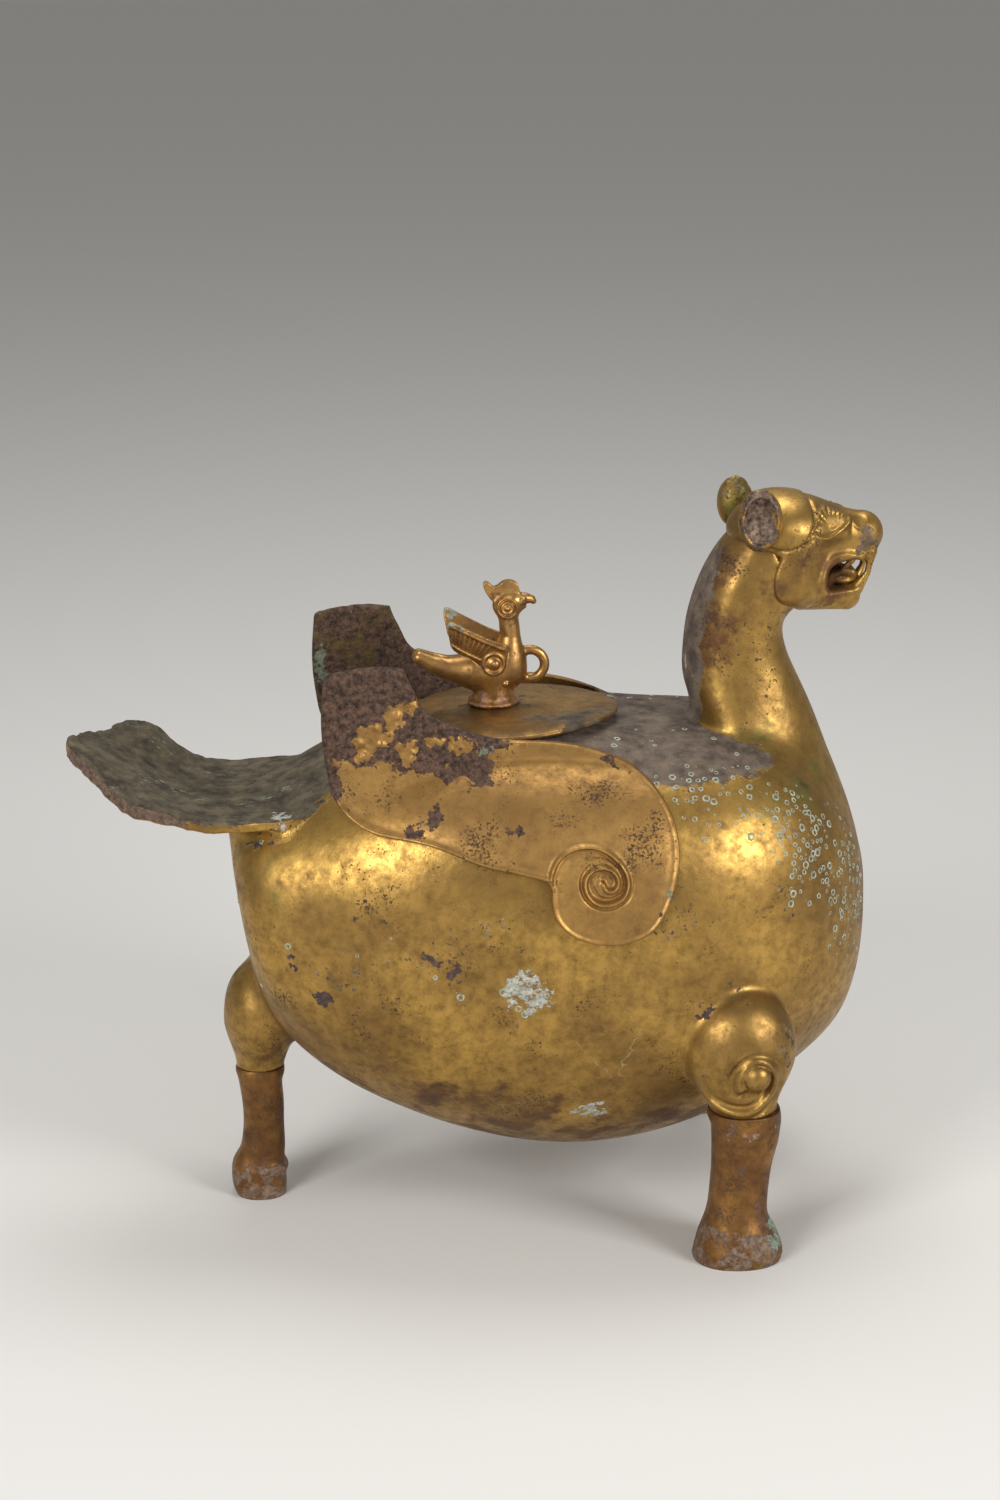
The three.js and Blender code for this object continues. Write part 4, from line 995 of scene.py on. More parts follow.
@dataclass
class Head:
    """The feline head: skull, temple discs, snout, brows, nostrils, cheeks, jaws and open mouth."""

    mouth: tuple = ((166.8, 303.6), (166.7, 308), (168.6, 312.6), (172, 314.6), (176.4, 315.8),
                    (181, 315.8), (183.9, 313), (184.6, 309), (183.4, 304.6), (176, 302.9))
    cheek_line: tuple = ((142, 320.5), (140.2, 316.5), (139, 311), (139, 304.3), (140.3, 299.6),
                         (143, 295.6), (147, 292.4))
    lip: tuple = ((163.6, 308.5), (165.2, 313.6), (168.2, 317.4), (172.4, 319.2), (178, 319.4), (184, 318.2))
    cheekbone: tuple = ((153, 321.4), (154.4, 325.2), (157, 327.6), (161, 328.7), (168, 329.2), (175, 329.5))
    eyelid: tuple = ((158.6, 331.4), (161.6, 330.2), (165, 329.8), (169, 330.9), (173, 333), (176.8, 337))
    brow: tuple = ((159.6, 336.4), (162, 340.4), (167, 342.6), (172.6, 342), (175.6, 338.4))
    cheek_middle: tuple = (158.0, 308.3)
    cheek_radius: float = 19.5
    jaw_foot: float = 294.5
    temple_middle: tuple = (143.4, 339.8)
    temple_radius: float = 14.6
    eye: tuple = (167, 334)
    nostril: tuple = (182.2, 335.2)
    ear_leaf: Place = (132.0, 24.8, 339.9)
    left_leaf: Place = (127.6, 24.8, 337.4)
    left_size: float = 0.84
    fineness: float = 0.62
    ear_fineness: float = 0.45
    tongue_fineness: float = 0.4

    def placed(self, sign: int) -> tuple[np.ndarray, float]:
        """Return the middle and the size of the right ear, sign -1, or of the smaller left one."""
        return (np.array(self.ear_leaf), 1.0) if sign < 0 else (np.array(self.left_leaf), self.left_size)

    def cup(self, block: Block, sign: int) -> Points:
        """Return the field of the shallow dish in an ear."""
        middle, size = self.placed(sign)
        return block.ellipsoid(middle + [-0.5, 10.2, 0.6], np.array([9.6, 10.5, 14.0]) * [size, 1, size])

    def form(self, block: Block) -> Points:
        """Return the head's field."""
        side = eased(np.abs(block.y), 4, 9)
        return self.jawed(block, self.faced(block, self.mass(block, side), side), side)

    def mass(self, block: Block, side: Points) -> Points:
        """Return the field of skull, snout, nose, cheeks and jaw, with the temple discs and the ears' dishes.

        Args:
            block: the sample points.
            side: 0 on the middle plane and 1 on the cheeks, as in the next two methods.

        Returns:
            The field.
        """
        skull = block.ellipsoid((147, 0, 330.6), (27, 24.0, 16.3))
        snout = block.rod((155, 0, 327.5), (184, 0, 327), 17.0, 10.3)
        nose = block.ellipsoid((184.9, 0, 327.8), (8.5, 9.8, 9.2))
        muzzle = joined(block.ellipsoid((172, 0, 320.4), (16, 12.2, 8.6)),
                        block.ellipsoid((182.5, 0, 320.6), (8.4, 9.6, 5.6)), 3.0)
        # The cheek is a low round boss, whose rim stands out of the neck and whose front sinks to the mouth
        x, z = self.cheek_middle
        across = np.hypot(block.x - x, block.z - z)
        half = 24.0 - 1.6 * (across / self.cheek_radius) ** 2 - 15.0 * eased(block.x, 150, 175)
        cheek = overlap(across - self.cheek_radius, np.abs(block.y) - half, 3.0)
        cheek = overlap(cheek, self.jaw_foot - block.z, 10.0)
        jaw = block.rod((157, 3, 302.6), (177.0, 3, 297.6), 11.6, 7.0)
        form = joined(joined(skull, snout, 5.0), nose, 2.5)
        form = joined(joined(form, muzzle, 3.0), joined(cheek, jaw, 7.0), 6.0)
        form = form + 1.3 * side * np.exp(-(((block.x - 165) / 7) ** 2 + ((block.z - 323) / 3.4) ** 2))
        # The temple disc follows the skull 1.9 mm out, inside a round border that is cut in round it
        x, z = self.temple_middle
        border = np.hypot(block.x - x, block.z - z) - self.temple_radius
        disc = overlap(block.ellipsoid((145, 0, 331), (25, 24.6, 16.5)) - 1.4, border, 0.9)
        form = joined(form + 0.8 * side * np.exp(-(((border - 0.3) / 0.9) ** 2)), disc, 0.4)
        for sign in (-1, 1):
            form = without(form, np.where(block.y * sign > 0, self.cup(block, sign), FAR), 0.8)
        return form

    def faced(self, block: Block, form: Points, side: Points) -> Points:
        """Return the head's field with brow, lids, cheekbone, upper lip, eye and nostril."""
        mound = block.ellipsoid((167.6, 10.2, 334.6), (9.4, 5.0, 5.8))
        form = joined(form, mound, 2.4)
        # The brow is combed: short ridges that fan out round the eye
        x, z = self.eye
        turn = np.arctan2(block.z - z, block.x - x)
        ring = np.hypot(block.x - x, block.z - z)
        comb = np.exp(-(((ring - 6.6) / 1.7) ** 2)) * eased(block.z, 335.5, 338)
        form = form - 0.38 * side * comb * np.cos(20 * turn)
        for line, height, width in ((self.cheekbone, 1.2, 2.1), (self.lip, 1.4, 1.6),
                                    (self.eyelid, 1.5, 1.15), (self.brow, 0.55, 0.9)):
            form = form - height * side * np.exp(-((block.near_line(line) / width) ** 2))
        form = form + 0.9 * side * np.exp(-((block.near_line(self.cheek_line) / 0.8) ** 2))
        form = joined(form, block.ellipsoid((166.8, 13.6, 333.9), (3.3, 2.9, 2.3)), 0.3)
        x, z = self.nostril
        swirl = np.hypot(block.x - x, block.z - z)
        curl = 0.6 * np.exp(-(((swirl - 3.4) / 0.8) ** 2)) - 0.7 * np.exp(-((swirl / 1.5) ** 2))
        return form - side * curl

    def jawed(self, block: Block, form: Points, side: Points) -> Points:
        """Return the head's field with the mouth cut through, its lips, its fangs and the throat."""
        hole = block.outline(self.mouth)
        form = form - 1.2 * side * np.exp(-(((hole - 1.9) / 1.3) ** 2))
        form = without(form, hole + 0 * block.y, 1.2)
        form = without(form, block.rod((172, 0, 310.0), (140, 0, 305), 6.6, 9.0), 1.0)
        lips = block.path([(187.8, 6.0, 319), (187.4, 6.8, 313.6), (186.5, 6.8, 309.2), (182.0, 5.6, 301.6)],
                          [3.2, 1.6, 1.5, 3.0])
        fang = block.rod((178.8, 7.4, 315.6), (173.6, 6.4, 309.8), 1.7, 0.7)
        return joined(joined(form, lips, 1.6), fang, 0.6)

    def ear(self, block: Block, sign: int) -> Points:
        """Return the field of an ear: a leaf, dished outwards, with a rough worn tip."""
        middle, size = self.placed(sign)
        leaf = block.ellipsoid(middle, np.array([10.3, 7.5, 14.9]) * [size, 1, size])
        tip = eased(block.z, middle[2], middle[2] + 10)
        worn = (0.3 * block.noise(2.4, 5) + 0.2 * block.noise(1.3, 6)) * tip
        return without(leaf, self.cup(block, sign), 0.8) + worn

    def build(self, kit: Kit) -> None:
        """Cast the head, its two ears and its tongue."""
        block = Block((112, -31, 286), (197, 31, 352), self.fineness)
        kit.cast(block.skin(self.form(block)), "beast_head", kit.gilding, "gilt_bronze", "vessel", "head")
        for side in (Side.RIGHT, Side.LEFT):
            low, high = ((-35, -12) if side is Side.RIGHT else (12, 35))
            block = Block((114, low, 318), (146, high, 358), self.ear_fineness)
            name = f"{side.name.lower()}_ear"
            kit.cast(block.skin(self.ear(block, side.value)), f"{name}_leaf", kit.gilding, "gilt_bronze",
                     "vessel", name)
        block = Block((163, -9, 298), (188, 9, 316), self.tongue_fineness)
        tongue = block.path([(168.4, 1.8, 302.0), (169.8, 2.2, 306.6), (174.4, 2.6, 309.6),
                             (179.6, 2.6, 308.4), (182.4, 2.0, 304.8)], [2.3, 2.3, 2.4, 2.3, 2.0])
        tongue = joined(tongue, block.ellipsoid((175.5, 0, 304.6), (7, 4.8, 2.6)), 1.5)
        kit.cast(block.skin(tongue), "curled_tongue", kit.gilding, "gilt_bronze", "vessel", "tongue")


@dataclass
class Wing:
    """A wing: a plate on the flank whose blade rises over the back and whose root is a volute."""

    trailing: tuple = (
        (-73, 275), (-74, 252), (-72, 234.5), (-69, 223), (-63, 216), (-53, 210), (-42, 208),
        (-27, 206), (-16.5, 203), (-3, 198), (11, 195), (27, 191))
    front: tuple = (
        (28, 187.5), (29, 176), (36, 167), (48, 162), (62, 162), (74, 167), (82, 179), (86, 191.5),
        (87, 208), (84, 219), (74, 231), (59, 239), (41.5, 244), (25, 246))
    upper: tuple = (
        (25, 246), (11.5, 247), (0, 249), (-9, 252), (-19, 256), (-27, 262), (-31.5, 271), (-34, 276),
        (-36, 281.5))
    tip: tuple = ((-36, 281.5), (-44, 282.4), (-57, 282), (-70, 279.6))
    blade: tuple = ((79, 206.5), (70, 217.5), (62.5, 232.5), (60, 244.5), (58, 286))
    coil: tuple = (
        (27.6, 188), (28, 194), (31.7, 201.4), (37.4, 205), (44.4, 206.2), (51.5, 204.8), (57.2, 201),
        (61.6, 195.6), (62.9, 189), (60.8, 184), (56.6, 181.4), (51, 180.8), (46.4, 183), (43.6, 187.4),
        (43.8, 192.6), (46.8, 196), (51, 197.2), (55.2, 196), (58, 192.6), (58.2, 189.2), (56, 186.8),
        (53, 187.2), (51.4, 190))
    plate: float = 3.6
    thickness: float = 4.5

    def outline(self) -> Points:
        """Return the outline's points, about a millimetre apart."""
        runs = [smooth_line(run, count)[:-1] for run, count in
                ((self.trailing, 150), (self.front, 160), (self.upper, 90), (self.tip, 36))]
        corner = smooth_line([self.tip[-1], (-72.4, 278), self.trailing[0]], 7)[:-1]
        return np.vstack(runs + [corner])

    def grid(self, outline: Points, coil: Points) -> tuple[Points, Points]:
        """Fill the outline with points, finer round the coil, and join them into triangles.

        Args:
            outline: the outline's points.
            coil: the line of the ridge that winds into the volute.

        Returns:
            The points and the triangles.
        """
        spots = []
        for step, keep in ((1.7, 0), (0.95, 1), (0.5, 2)):
            low, high = outline.min(axis=0), outline.max(axis=0)
            x, z = np.meshgrid(np.arange(low[0], high[0], step), np.arange(low[1], high[1], step * 0.87))
            x = x + (np.arange(len(x)) % 2)[:, None] * step / 2
            gap = outline_distance(x, z, outline)
            rough = (z - 0.12 * x > 232) & (x < 24)
            fine = (line_distance(x, z, coil) < 4.2) | ((gap > -2.6) & (x > -78))
            level = np.where(fine, 2, np.where(rough, 1, 0))
            pick = (gap < -0.45 * step) & (level == keep)
            spots.append(np.stack([x[pick], z[pick]], axis=-1))
        flat = np.vstack([outline] + spots)
        loop = list(range(len(outline)))
        edges = list(zip(loop, loop[1:] + loop[:1]))
        made = delaunay_2d_cdt([Vector(p) for p in flat.tolist()], edges, [], 1, 1e-6)
        return np.array([tuple(p) for p in made[0]]), np.array(made[2])

    def ridge(self, x: Points, z: Points, coil: Points) -> Points:
        """Return the height of the coil's ridge, of its undercut and of the floor inside it.

        Args:
            x: first coordinates of the places.
            z: second coordinates.
            coil: the ridge's line, wound clockwise from the volute's edge inwards.

        Returns:
            The heights to add to the wing's face.
        """
        best = np.full(x.shape, 1e9)
        inner = np.zeros(x.shape)
        along = np.zeros(x.shape)
        for i, ((ax, az), (bx, bz)) in enumerate(zip(coil[:-1], coil[1:])):
            dx, dz = bx - ax, bz - az
            share = np.clip(((x - ax) * dx + (z - az) * dz) / (dx * dx + dz * dz + 1e-9), 0, 1)
            px, pz = x - ax - share * dx, z - az - share * dz
            gap = np.hypot(px, pz)
            closer = gap < best
            best = np.where(closer, gap, best)
            inner = np.where(closer, np.sign(dz * px - dx * pz), inner)
            along = np.where(closer, (i + share) / len(coil), along)
        grows = eased(along, 0.0, 0.05) * (1 - 0.35 * eased(along, 0.8, 1.0))
        crest = 2.2 * grows * np.exp(-((best / 1.1) ** 2))
        within = eased(inner * best, 0.2, 1.8)
        floor = -1.5 * within * np.exp(-((best / 5.5) ** 2)) * eased(along, 0.0, 0.15)
        # The second turn stands out of a dark groove on its outer side
        beyond = np.exp(-(((best - 1.9) / 0.8) ** 2)) * (inner < 0)
        groove = -1.2 * beyond * eased(along, 0.42, 0.55) * (1 - eased(along, 0.72, 0.8))
        return crest + floor + groove

    def skin(self, kit: Kit) -> Skin:
        """Return the left wing's skin: its outer face, its inner face and its edge."""
        outline, coil = self.outline(), smooth_line(self.coil, 170)
        flat, triangles = self.grid(outline, coil)
        x, z = flat[:, 0], flat[:, 1]
        belly = np.full(len(flat), -50.0)
        for i, (px, pz) in enumerate(flat.tolist()):
            hit = kit.belly_tree.ray_cast(Vector((px, CLEAR, pz)), Vector((0, -1, 0)))[0]
            if hit is not None:
                belly[i] = hit.y
        strip = smooth_line(self.blade, 200)
        blade = np.interp(z, strip[:, 1], strip[:, 0])
        outer = -joined(-(belly + self.plate), -blade, 5.0)
        inner = -joined(-(belly - 1.5), -(blade - self.thickness), 2.0)
        edge = np.maximum(-outline_distance(x, z, outline), 0)
        radius = np.where((z > 246) | (x < -66), 2.2, 0.8)
        drop = radius - np.sqrt(np.maximum(radius**2 - np.maximum(radius - edge, 0) ** 2, 0))
        crust = eased(z - 0.12 * x, 238, 250) * (x < 20)
        rough = (grain(flat, 5.0, 2) * 0.5 + grain(flat, 2.6, 3) * 0.65 + grain(flat, 1.3, 4) * 0.45) * crust
        rough = rough + grain(flat, 16, 8) * 0.25
        # Below and behind, the plate's face dips a little before its edge and then stands up in a faint lip
        lip = 0.55 * np.exp(-(((edge - 1.1) / 0.7) ** 2)) - 0.4 * np.exp(-(((edge - 3.4) / 1.4) ** 2))
        outer = outer - drop + self.ridge(x, z, coil) + rough + lip * eased(-z, -240, -225)
        inner_rough = (grain(flat, 3.0, 9) * 0.5 + grain(flat, 1.4, 10) * 0.3) * crust
        inner = np.minimum(inner + inner_rough + np.where(inner > belly + 1, drop * 0.5, 0), outer - 0.4)
        # The edge is undercut: behind it the inner face draws back by up to 3 mm
        drawn = 3.0 * np.maximum(1 - edge / 8, 0) * (inner < belly)
        turn_x = (outline_distance(x + 0.1, z, outline) + edge) / 0.1
        turn_z = (outline_distance(x, z + 0.1, outline) + edge) / 0.1
        count = len(flat)
        points = np.vstack([np.stack([x, outer, z], axis=-1),
                            np.stack([x - turn_x * drawn, inner, z - turn_z * drawn], axis=-1)])
        sides = boundary(triangles)
        walls = np.stack([sides[:, 0], sides[:, 1], sides[:, 1] + count, sides[:, 0] + count], axis=-1)
        faces = np.vstack([triangles, triangles[:, ::-1] + count])
        return Skin(points, walls[:, ::-1], faces).facing_out()

    def build(self, kit: Kit) -> None:
        """Cast both wings."""
        skin = self.skin(kit)
        for side in Side:
            name = f"{side.name.lower()}_wing"
            one = skin if side is Side.LEFT else skin.mirrored()
            piece = one.as_object(f"{name}_plate", kit.shift)
            kit.finish(piece, kit.wing, "gilt_bronze", "vessel", name)


def boundary(triangles: Points) -> Points:
    """Return the directed edges that only one triangle has."""
    edges = np.vstack([triangles[:, [0, 1]], triangles[:, [1, 2]], triangles[:, [2, 0]]])
    known = {tuple(edge) for edge in edges.tolist()}
    return np.array([edge for edge in edges.tolist() if (edge[1], edge[0]) not in known])


def grain(places: Points, size: float, seed: int) -> Points:
    """Return smooth random values, about -1 to 1, at places in a plane."""
    cell = places / size
    base = np.floor(cell).astype(int)
    part = cell - base
    part = part * part * (3 - 2 * part)
    table = np.random.default_rng(seed).uniform(-1, 1, (256, 256))
    x, z = base[:, 0] % 256, base[:, 1] % 256
    x1, z1 = (x + 1) % 256, (z + 1) % 256
    low = table[x, z] * (1 - part[:, 0]) + table[x1, z] * part[:, 0]
    high = table[x, z1] * (1 - part[:, 0]) + table[x1, z1] * part[:, 0]
    return low * (1 - part[:, 1]) + high * part[:, 1]


@dataclass
class Tail:
    """The tail: a broad leaf that flows out of the back and curls up, with a rough broken edge."""

    outline: tuple = (
        (-66, -34), (-79, -47), (-105, -50), (-124, -49.5), (-154, -48), (-166, -41.5), (-179, -29),
        (-189, -14), (-191.4, -5), (-191, 6), (-186, 20), (-179, 30.5), (-164, 44.5), (-154, 49.5),
        (-140, 50), (-124, 49.5), (-105, 50), (-79, 47), (-66, 34))
    rise: tuple = ((-60, 208), (-79.5, 206.6), (-105, 205.2), (-123.6, 205), (-146.4, 211),
                   (-165.4, 219.8), (-194, 232.4))
    thickness: float = 5.2
    fineness: float = 0.95

    def build(self, kit: Kit) -> None:
        """Cast the tail."""
        block = Block((-195, -56, 160), (-58, 56, 242), self.fineness)
        line = smooth_line(self.rise, 120)
        order = np.argsort(line[:, 0])
        middle = np.interp(block.axes[0], line[order, 0], line[order, 1])
        slope = np.gradient(middle, block.axes[0])
        upright = np.cos(np.arctan(slope))[:, None, None]
        # The far corner is bent up and the near one down
        bend = 10.5 * np.exp(-(((block.x + 154) / 17) ** 2)) * eased(block.y, 12, 48)
        bend = bend - 4.6 * np.exp(-(((block.x + 166) / 13) ** 2)) * eased(-block.y, 12, 42)
        level = middle[:, None, None] + bend
        thick = self.thickness + 1.8 * eased(-block.x, 140, 170)
        depth = np.abs(block.z - level) * upright - thick / 2
        leaf = outline_distance(block.x, block.y, smooth_line(self.outline, 140, closed=True))
        own = overlap(depth, leaf, 1.3)
        ragged = eased(leaf, -8.3, -1.3) * eased(-block.x, 112, 130)
        worn = 0.9 * block.noise(7.0, 11) + 0.5 * block.noise(3.4, 12) + 0.3 * block.noise(1.9, 13)
        own = own + worn * (0.18 + 0.82 * ragged) * eased(-block.x, 62, 90)
        # Under the tail the casting runs down the rump in a hollow sweep; on top it is nearly flush
        under = eased(level - block.z, 0, 8)
        rounding = 3.0 + 21.0 * under * (1 - 0.75 * eased(np.abs(block.y), 22, 44))
        form = kit.on_belly(block, own, rounding)
        kit.cast(block.skin(form), "tail_leaf", kit.gilding, "lid_bronze", "vessel", "tail")


@dataclass
class Leg:
    """A leg: hoof, shank and collar. Lines give its rear and front from the side, and its half breadth."""

    rear: tuple
    front: tuple
    half: tuple
    power: float = 2.3
    top: float = 75.0

    def skin(self, y: float) -> Skin:
        """Return the leg's skin, standing at a Y."""
        levels = np.concatenate([np.linspace(0, 3, 6), np.linspace(3, self.top - 2, 70)[1:],
                                 np.linspace(self.top - 2, self.top, 6)[1:]])
        columns = []
        for line in (self.rear, self.front, self.half):
            run = smooth_line([(z, value) for value, z in line], 200)
            columns.append(np.interp(levels, run[:, 0], run[:, 1]))
        rear, front, half = columns
        turn = 2 * np.pi * np.arange(72) / 72
        reach = (np.abs(np.cos(turn)) ** self.power + np.abs(np.sin(turn)) ** self.power) ** (-1 / self.power)
        x = ((rear + front) / 2)[:, None] + ((front - rear) / 2)[:, None] * (np.cos(turn) * reach)[None]
        spread = y + half[:, None] * (np.sin(turn) * reach)[None]
        rings = np.stack([x, spread, np.repeat(levels[:, None], 72, axis=1)], axis=-1)
        return wrapped(rings)


FRONT_LEG = Leg(
    rear=((96.4, 0), (97, 2.5), (98.8, 10.2), (102.4, 21.2), (104, 34.4), (104.6, 44.5), (104.6, 56),
          (104.4, 64), (103.6, 68.5), (102.4, 71.5), (102.8, 75)),
    front=((138.2, 0), (138.9, 2.5), (138.2, 7), (136, 13), (132, 20.5), (131.2, 28.2), (131.9, 38.4),
           (133.7, 50.5), (136, 60.4), (136.6, 66), (136.8, 71.5), (136.2, 75)),
    half=((19.5, 0), (20.2, 2.5), (19.4, 10), (16, 20), (13.6, 30), (13, 42), (13.6, 54), (14.8, 64),
          (16.2, 70), (16.2, 75)))
REAR_LEG = Leg(
    rear=((-117.4, 0), (-118.6, 3), (-119.4, 10), (-118.4, 17), (-115.6, 22), (-113.8, 29), (-113.1, 37.6),
          (-113.4, 46), (-114.6, 56), (-116, 63), (-116.4, 65.4), (-115.6, 67)),
    front=((-92.9, 0), (-92.6, 5), (-92.3, 11.6), (-91.6, 14), (-92.8, 16.5), (-93.2, 22), (-93.3, 35.1),
           (-93.5, 52.3), (-93.6, 60), (-92.6, 64.2), (-92.8, 67)),
    half=((12.8, 0), (13.2, 4), (12.6, 11), (12.6, 14), (11.2, 17), (10.2, 24), (9.8, 36), (10.2, 50),
          (11.2, 60), (12, 64), (11.6, 67)), top=67.0)


@dataclass
class Haunch:
    """A haunch: a round swelling on the belly over its leg, with a curl on the front pair."""

    centre: tuple
    radii: tuple
    hip: tuple
    hip_radius: float
    foot: tuple
    foot_radius: float
    top: float
    rounding: float
    curl: tuple = ()
    knob: tuple = ()
    fineness: float = 0.72

    def skin(self, kit: Kit) -> Skin:
        """Return the haunch's skin, on the middle plane or on the left."""
        reach = max(self.radii) + 10
        x, y, z = self.centre
        wide = self.radii[1] + 12
        low_y = -wide if y == 0 else y - wide - 6
        block = Block((x - reach, low_y, self.top - 2), (x + reach, y + wide, z + reach + 4), self.fineness)
        form = block.ellipsoid(self.centre, self.radii)
        form = joined(form, block.rod(self.hip, self.foot, self.hip_radius, self.foot_radius), 6.0)
        if self.curl:
            form = self.curled(block, form)
        form = kit.on_belly(block, form, self.rounding)
        form = np.maximum(form, self.top - block.z)
        return block.skin(form)

    def curled(self, block: Block, form: Points) -> Points:
        """Return the field with the curl's rope, the groove inside it and the knob in its middle."""
        line = smooth_line(self.curl, 110)
        gap = line_distance(block.x, block.z, line)
        outer = eased(block.y, self.centre[1] + 1, self.centre[1] + 10)
        start = eased(np.hypot(block.x - line[0, 0], block.z - line[0, 1]), 0, 9)
        form = form - outer * start * 2.0 * np.exp(-((gap / 1.9) ** 2))
        to_knob = np.hypot(block.x - self.knob[0], block.z - self.knob[2])
        inside = eased(24 - to_knob, 0, 6)
        form = form + outer * inside * 1.1 * np.exp(-(((gap - 3.4) / 1.4) ** 2)) * (to_knob > 6)
        recess = np.hypot(block.x - (self.knob[0] - 2.2), block.z - (self.knob[2] - 1.4))
        form = form + outer * 1.9 * np.exp(-(((recess - 8.2) / 2.4) ** 2))
        return joined(form, block.ellipsoid(self.knob, (6.5, 5.2, 6.5)), 0.9)


FRONT_HAUNCH = Haunch(
    centre=(117.0, 90.0, 104.8), radii=(26.6, 22.0, 28.6), hip=(117.4, 91, 98), hip_radius=19.5,
    foot=(119.2, 92, 76), foot_radius=15.6, top=75.0, rounding=4.5,
    curl=((96.6, 88), (100.2, 83.8), (105.1, 80.5), (112, 78.4), (118.9, 78.6), (125.7, 82.3), (129.9, 88.4),
          (131.2, 94.7), (129.6, 100.5), (125.8, 104), (120.3, 104.6), (115.4, 101), (113.1, 95.4),
          (114.6, 90.6)),
    knob=(122.4, 110.2, 97.2))
REAR_HAUNCH = Haunch(
    centre=(-103.6, 0, 96), radii=(17.6, 21.5, 25), hip=(-103.6, 0, 88), hip_radius=15.4,
    foot=(-104.3, 0, 68), foot_radius=11.6, top=67.0, rounding=9.0)


class Legs:
    """The three legs and their haunches: two in front, and one on the middle plane behind."""

    def build(self, kit: Kit) -> None:
        """Cast them."""
        front = FRONT_HAUNCH.skin(kit)
        for side in Side:
            name = f"front_{side.name.lower()}"
            skin = front if side is Side.LEFT else front.mirrored()
            kit.cast(skin, f"{name}_swelling", kit.gilding, "gilt_bronze", "vessel", f"{name}_haunch")
            kit.cast(FRONT_LEG.skin(side.value * FRONT_LEG_Y), f"{name}_shank", kit.brown, "brown_bronze",
                     "vessel", f"{name}_leg")
        kit.cast(REAR_HAUNCH.skin(kit), "rear_swelling", kit.gilding, "gilt_bronze", "vessel", "rear_haunch")
        kit.cast(REAR_LEG.skin(0.0), "rear_shank", kit.brown, "brown_bronze", "vessel", "rear_leg")


@dataclass
class Lid:
    """The lid: a thin hand-raised disc that has warped a little off the back, with its flange."""

    thickness: float = 2.0
    flange_radius: float = 39.4
    flange_wall: float = 3.0
    flange_foot: float = 235.5
    flange_top: float = BELLY_TOP - 3.6
    warp: float = 4.4
    sides: int = 144
    rows: int = 60

    def build(self, kit: Kit) -> None:
        """Cast the disc, and the flange under it."""
        turn = 2 * np.pi * np.arange(self.sides) / self.sides
        tops, unders = [], []
        for share in np.linspace(0.02, 1, self.rows):
            ring = []
            for angle in turn:
                x = LID_X + LID_RADIUS * share * math.cos(angle)
                y = LID_RADIUS * share * math.sin(angle)
                hit = kit.belly_tree.ray_cast(Vector((x, y, CLEAR)), Vector((0, 0, -1)))[0]
                ring.append((x, y, hit.z if hit else BELLY_TOP))
            ring = np.array(ring)
            lift = self.warp * eased(share, 0.5, 1.0) * np.maximum(np.cos(turn + 0.9), 0) ** 1.5
            ring[:, 2] += 0.35 + lift
            unders.append(ring)
            tops.append(ring + [0, 0, self.thickness])
        rim = tops[-1].copy()
        centre = np.array([LID_X, 0, 0])
        # The rim is rounded by half a millimetre
        wider = [1 + 0.5 / LID_RADIUS, 1 + 0.5 / LID_RADIUS, 1]
        soft = [(rim - centre) * wider + centre - [0, 0, drop] for drop in (0.5, self.thickness - 0.5)]
        disc = wrapped(np.stack(tops + soft + unders[::-1]))
        kit.cast(disc, "lid_disc", kit.olive, "lid_bronze", "lid", "lid")
        outer = post(LID_X, 0, self.flange_radius, self.flange_foot, self.flange_top)
        flange = outer.as_object("lid_flange", kit.shift)
        hole = post(LID_X, 0, self.flange_radius - self.flange_wall, 200, CLEAR)
        hole = hole.as_object("hole", kit.shift)
        carved(flange, [hole])
        kit.finish(flange, kit.olive, "lid_bronze", "lid")


def grown(base: bpy.types.Object, tree: bpy.types.NodeTree, values: dict, name: str) -> bpy.types.Object:
    """Run a node tree on an object and keep its result as a plain object.

    Args:
        base: the carrier that the tree starts from, deleted afterwards.
        tree: the geometry node tree.
        values: a value for each of the tree's inputs, by name.
        name: the new object's name.

    Returns:
        The new object, linked to the scene.
    """
    step = base.modifiers.new("grow", "NODES")
    step.node_group = tree
    known = {item.name: item.identifier for item in tree.interface.items_tree if item.in_out == "INPUT"}
    for label, value in values.items():
        step[known[label]] = value
    ready = base.evaluated_get(bpy.context.evaluated_depsgraph_get())
    mesh = bpy.data.meshes.new_from_object(ready)
    made = bpy.data.objects.new(name, mesh)
    bpy.context.scene.collection.objects.link(made)
    mesh.name = name
    old = base.data
    bpy.data.objects.remove(base)
    bpy.data.meshes.remove(old)
    for attribute in [a.name for a in mesh.attributes if a.name in ("growth", "way", "reach")]:
        mesh.attributes.remove(mesh.attributes[attribute])
    return made


def started(name: str, inputs: tuple) -> bpy.types.NodeTree:
    """Start a geometry node tree with a geometry and named inputs.

    Args:
        name: the tree's name.
        inputs: a name and a socket type for each input after the geometry.

    Returns:
        The tree, with its input and output sockets and nothing in it.
    """
    tree = bpy.data.node_groups.new(name, "GeometryNodeTree")
    tree.interface.new_socket("Geometry", in_out="INPUT", socket_type="NodeSocketGeometry")
    for label, kind in inputs:
        tree.interface.new_socket(label, in_out="INPUT", socket_type=kind)
    tree.interface.new_socket("Geometry", in_out="OUTPUT", socket_type="NodeSocketGeometry")
    return tree


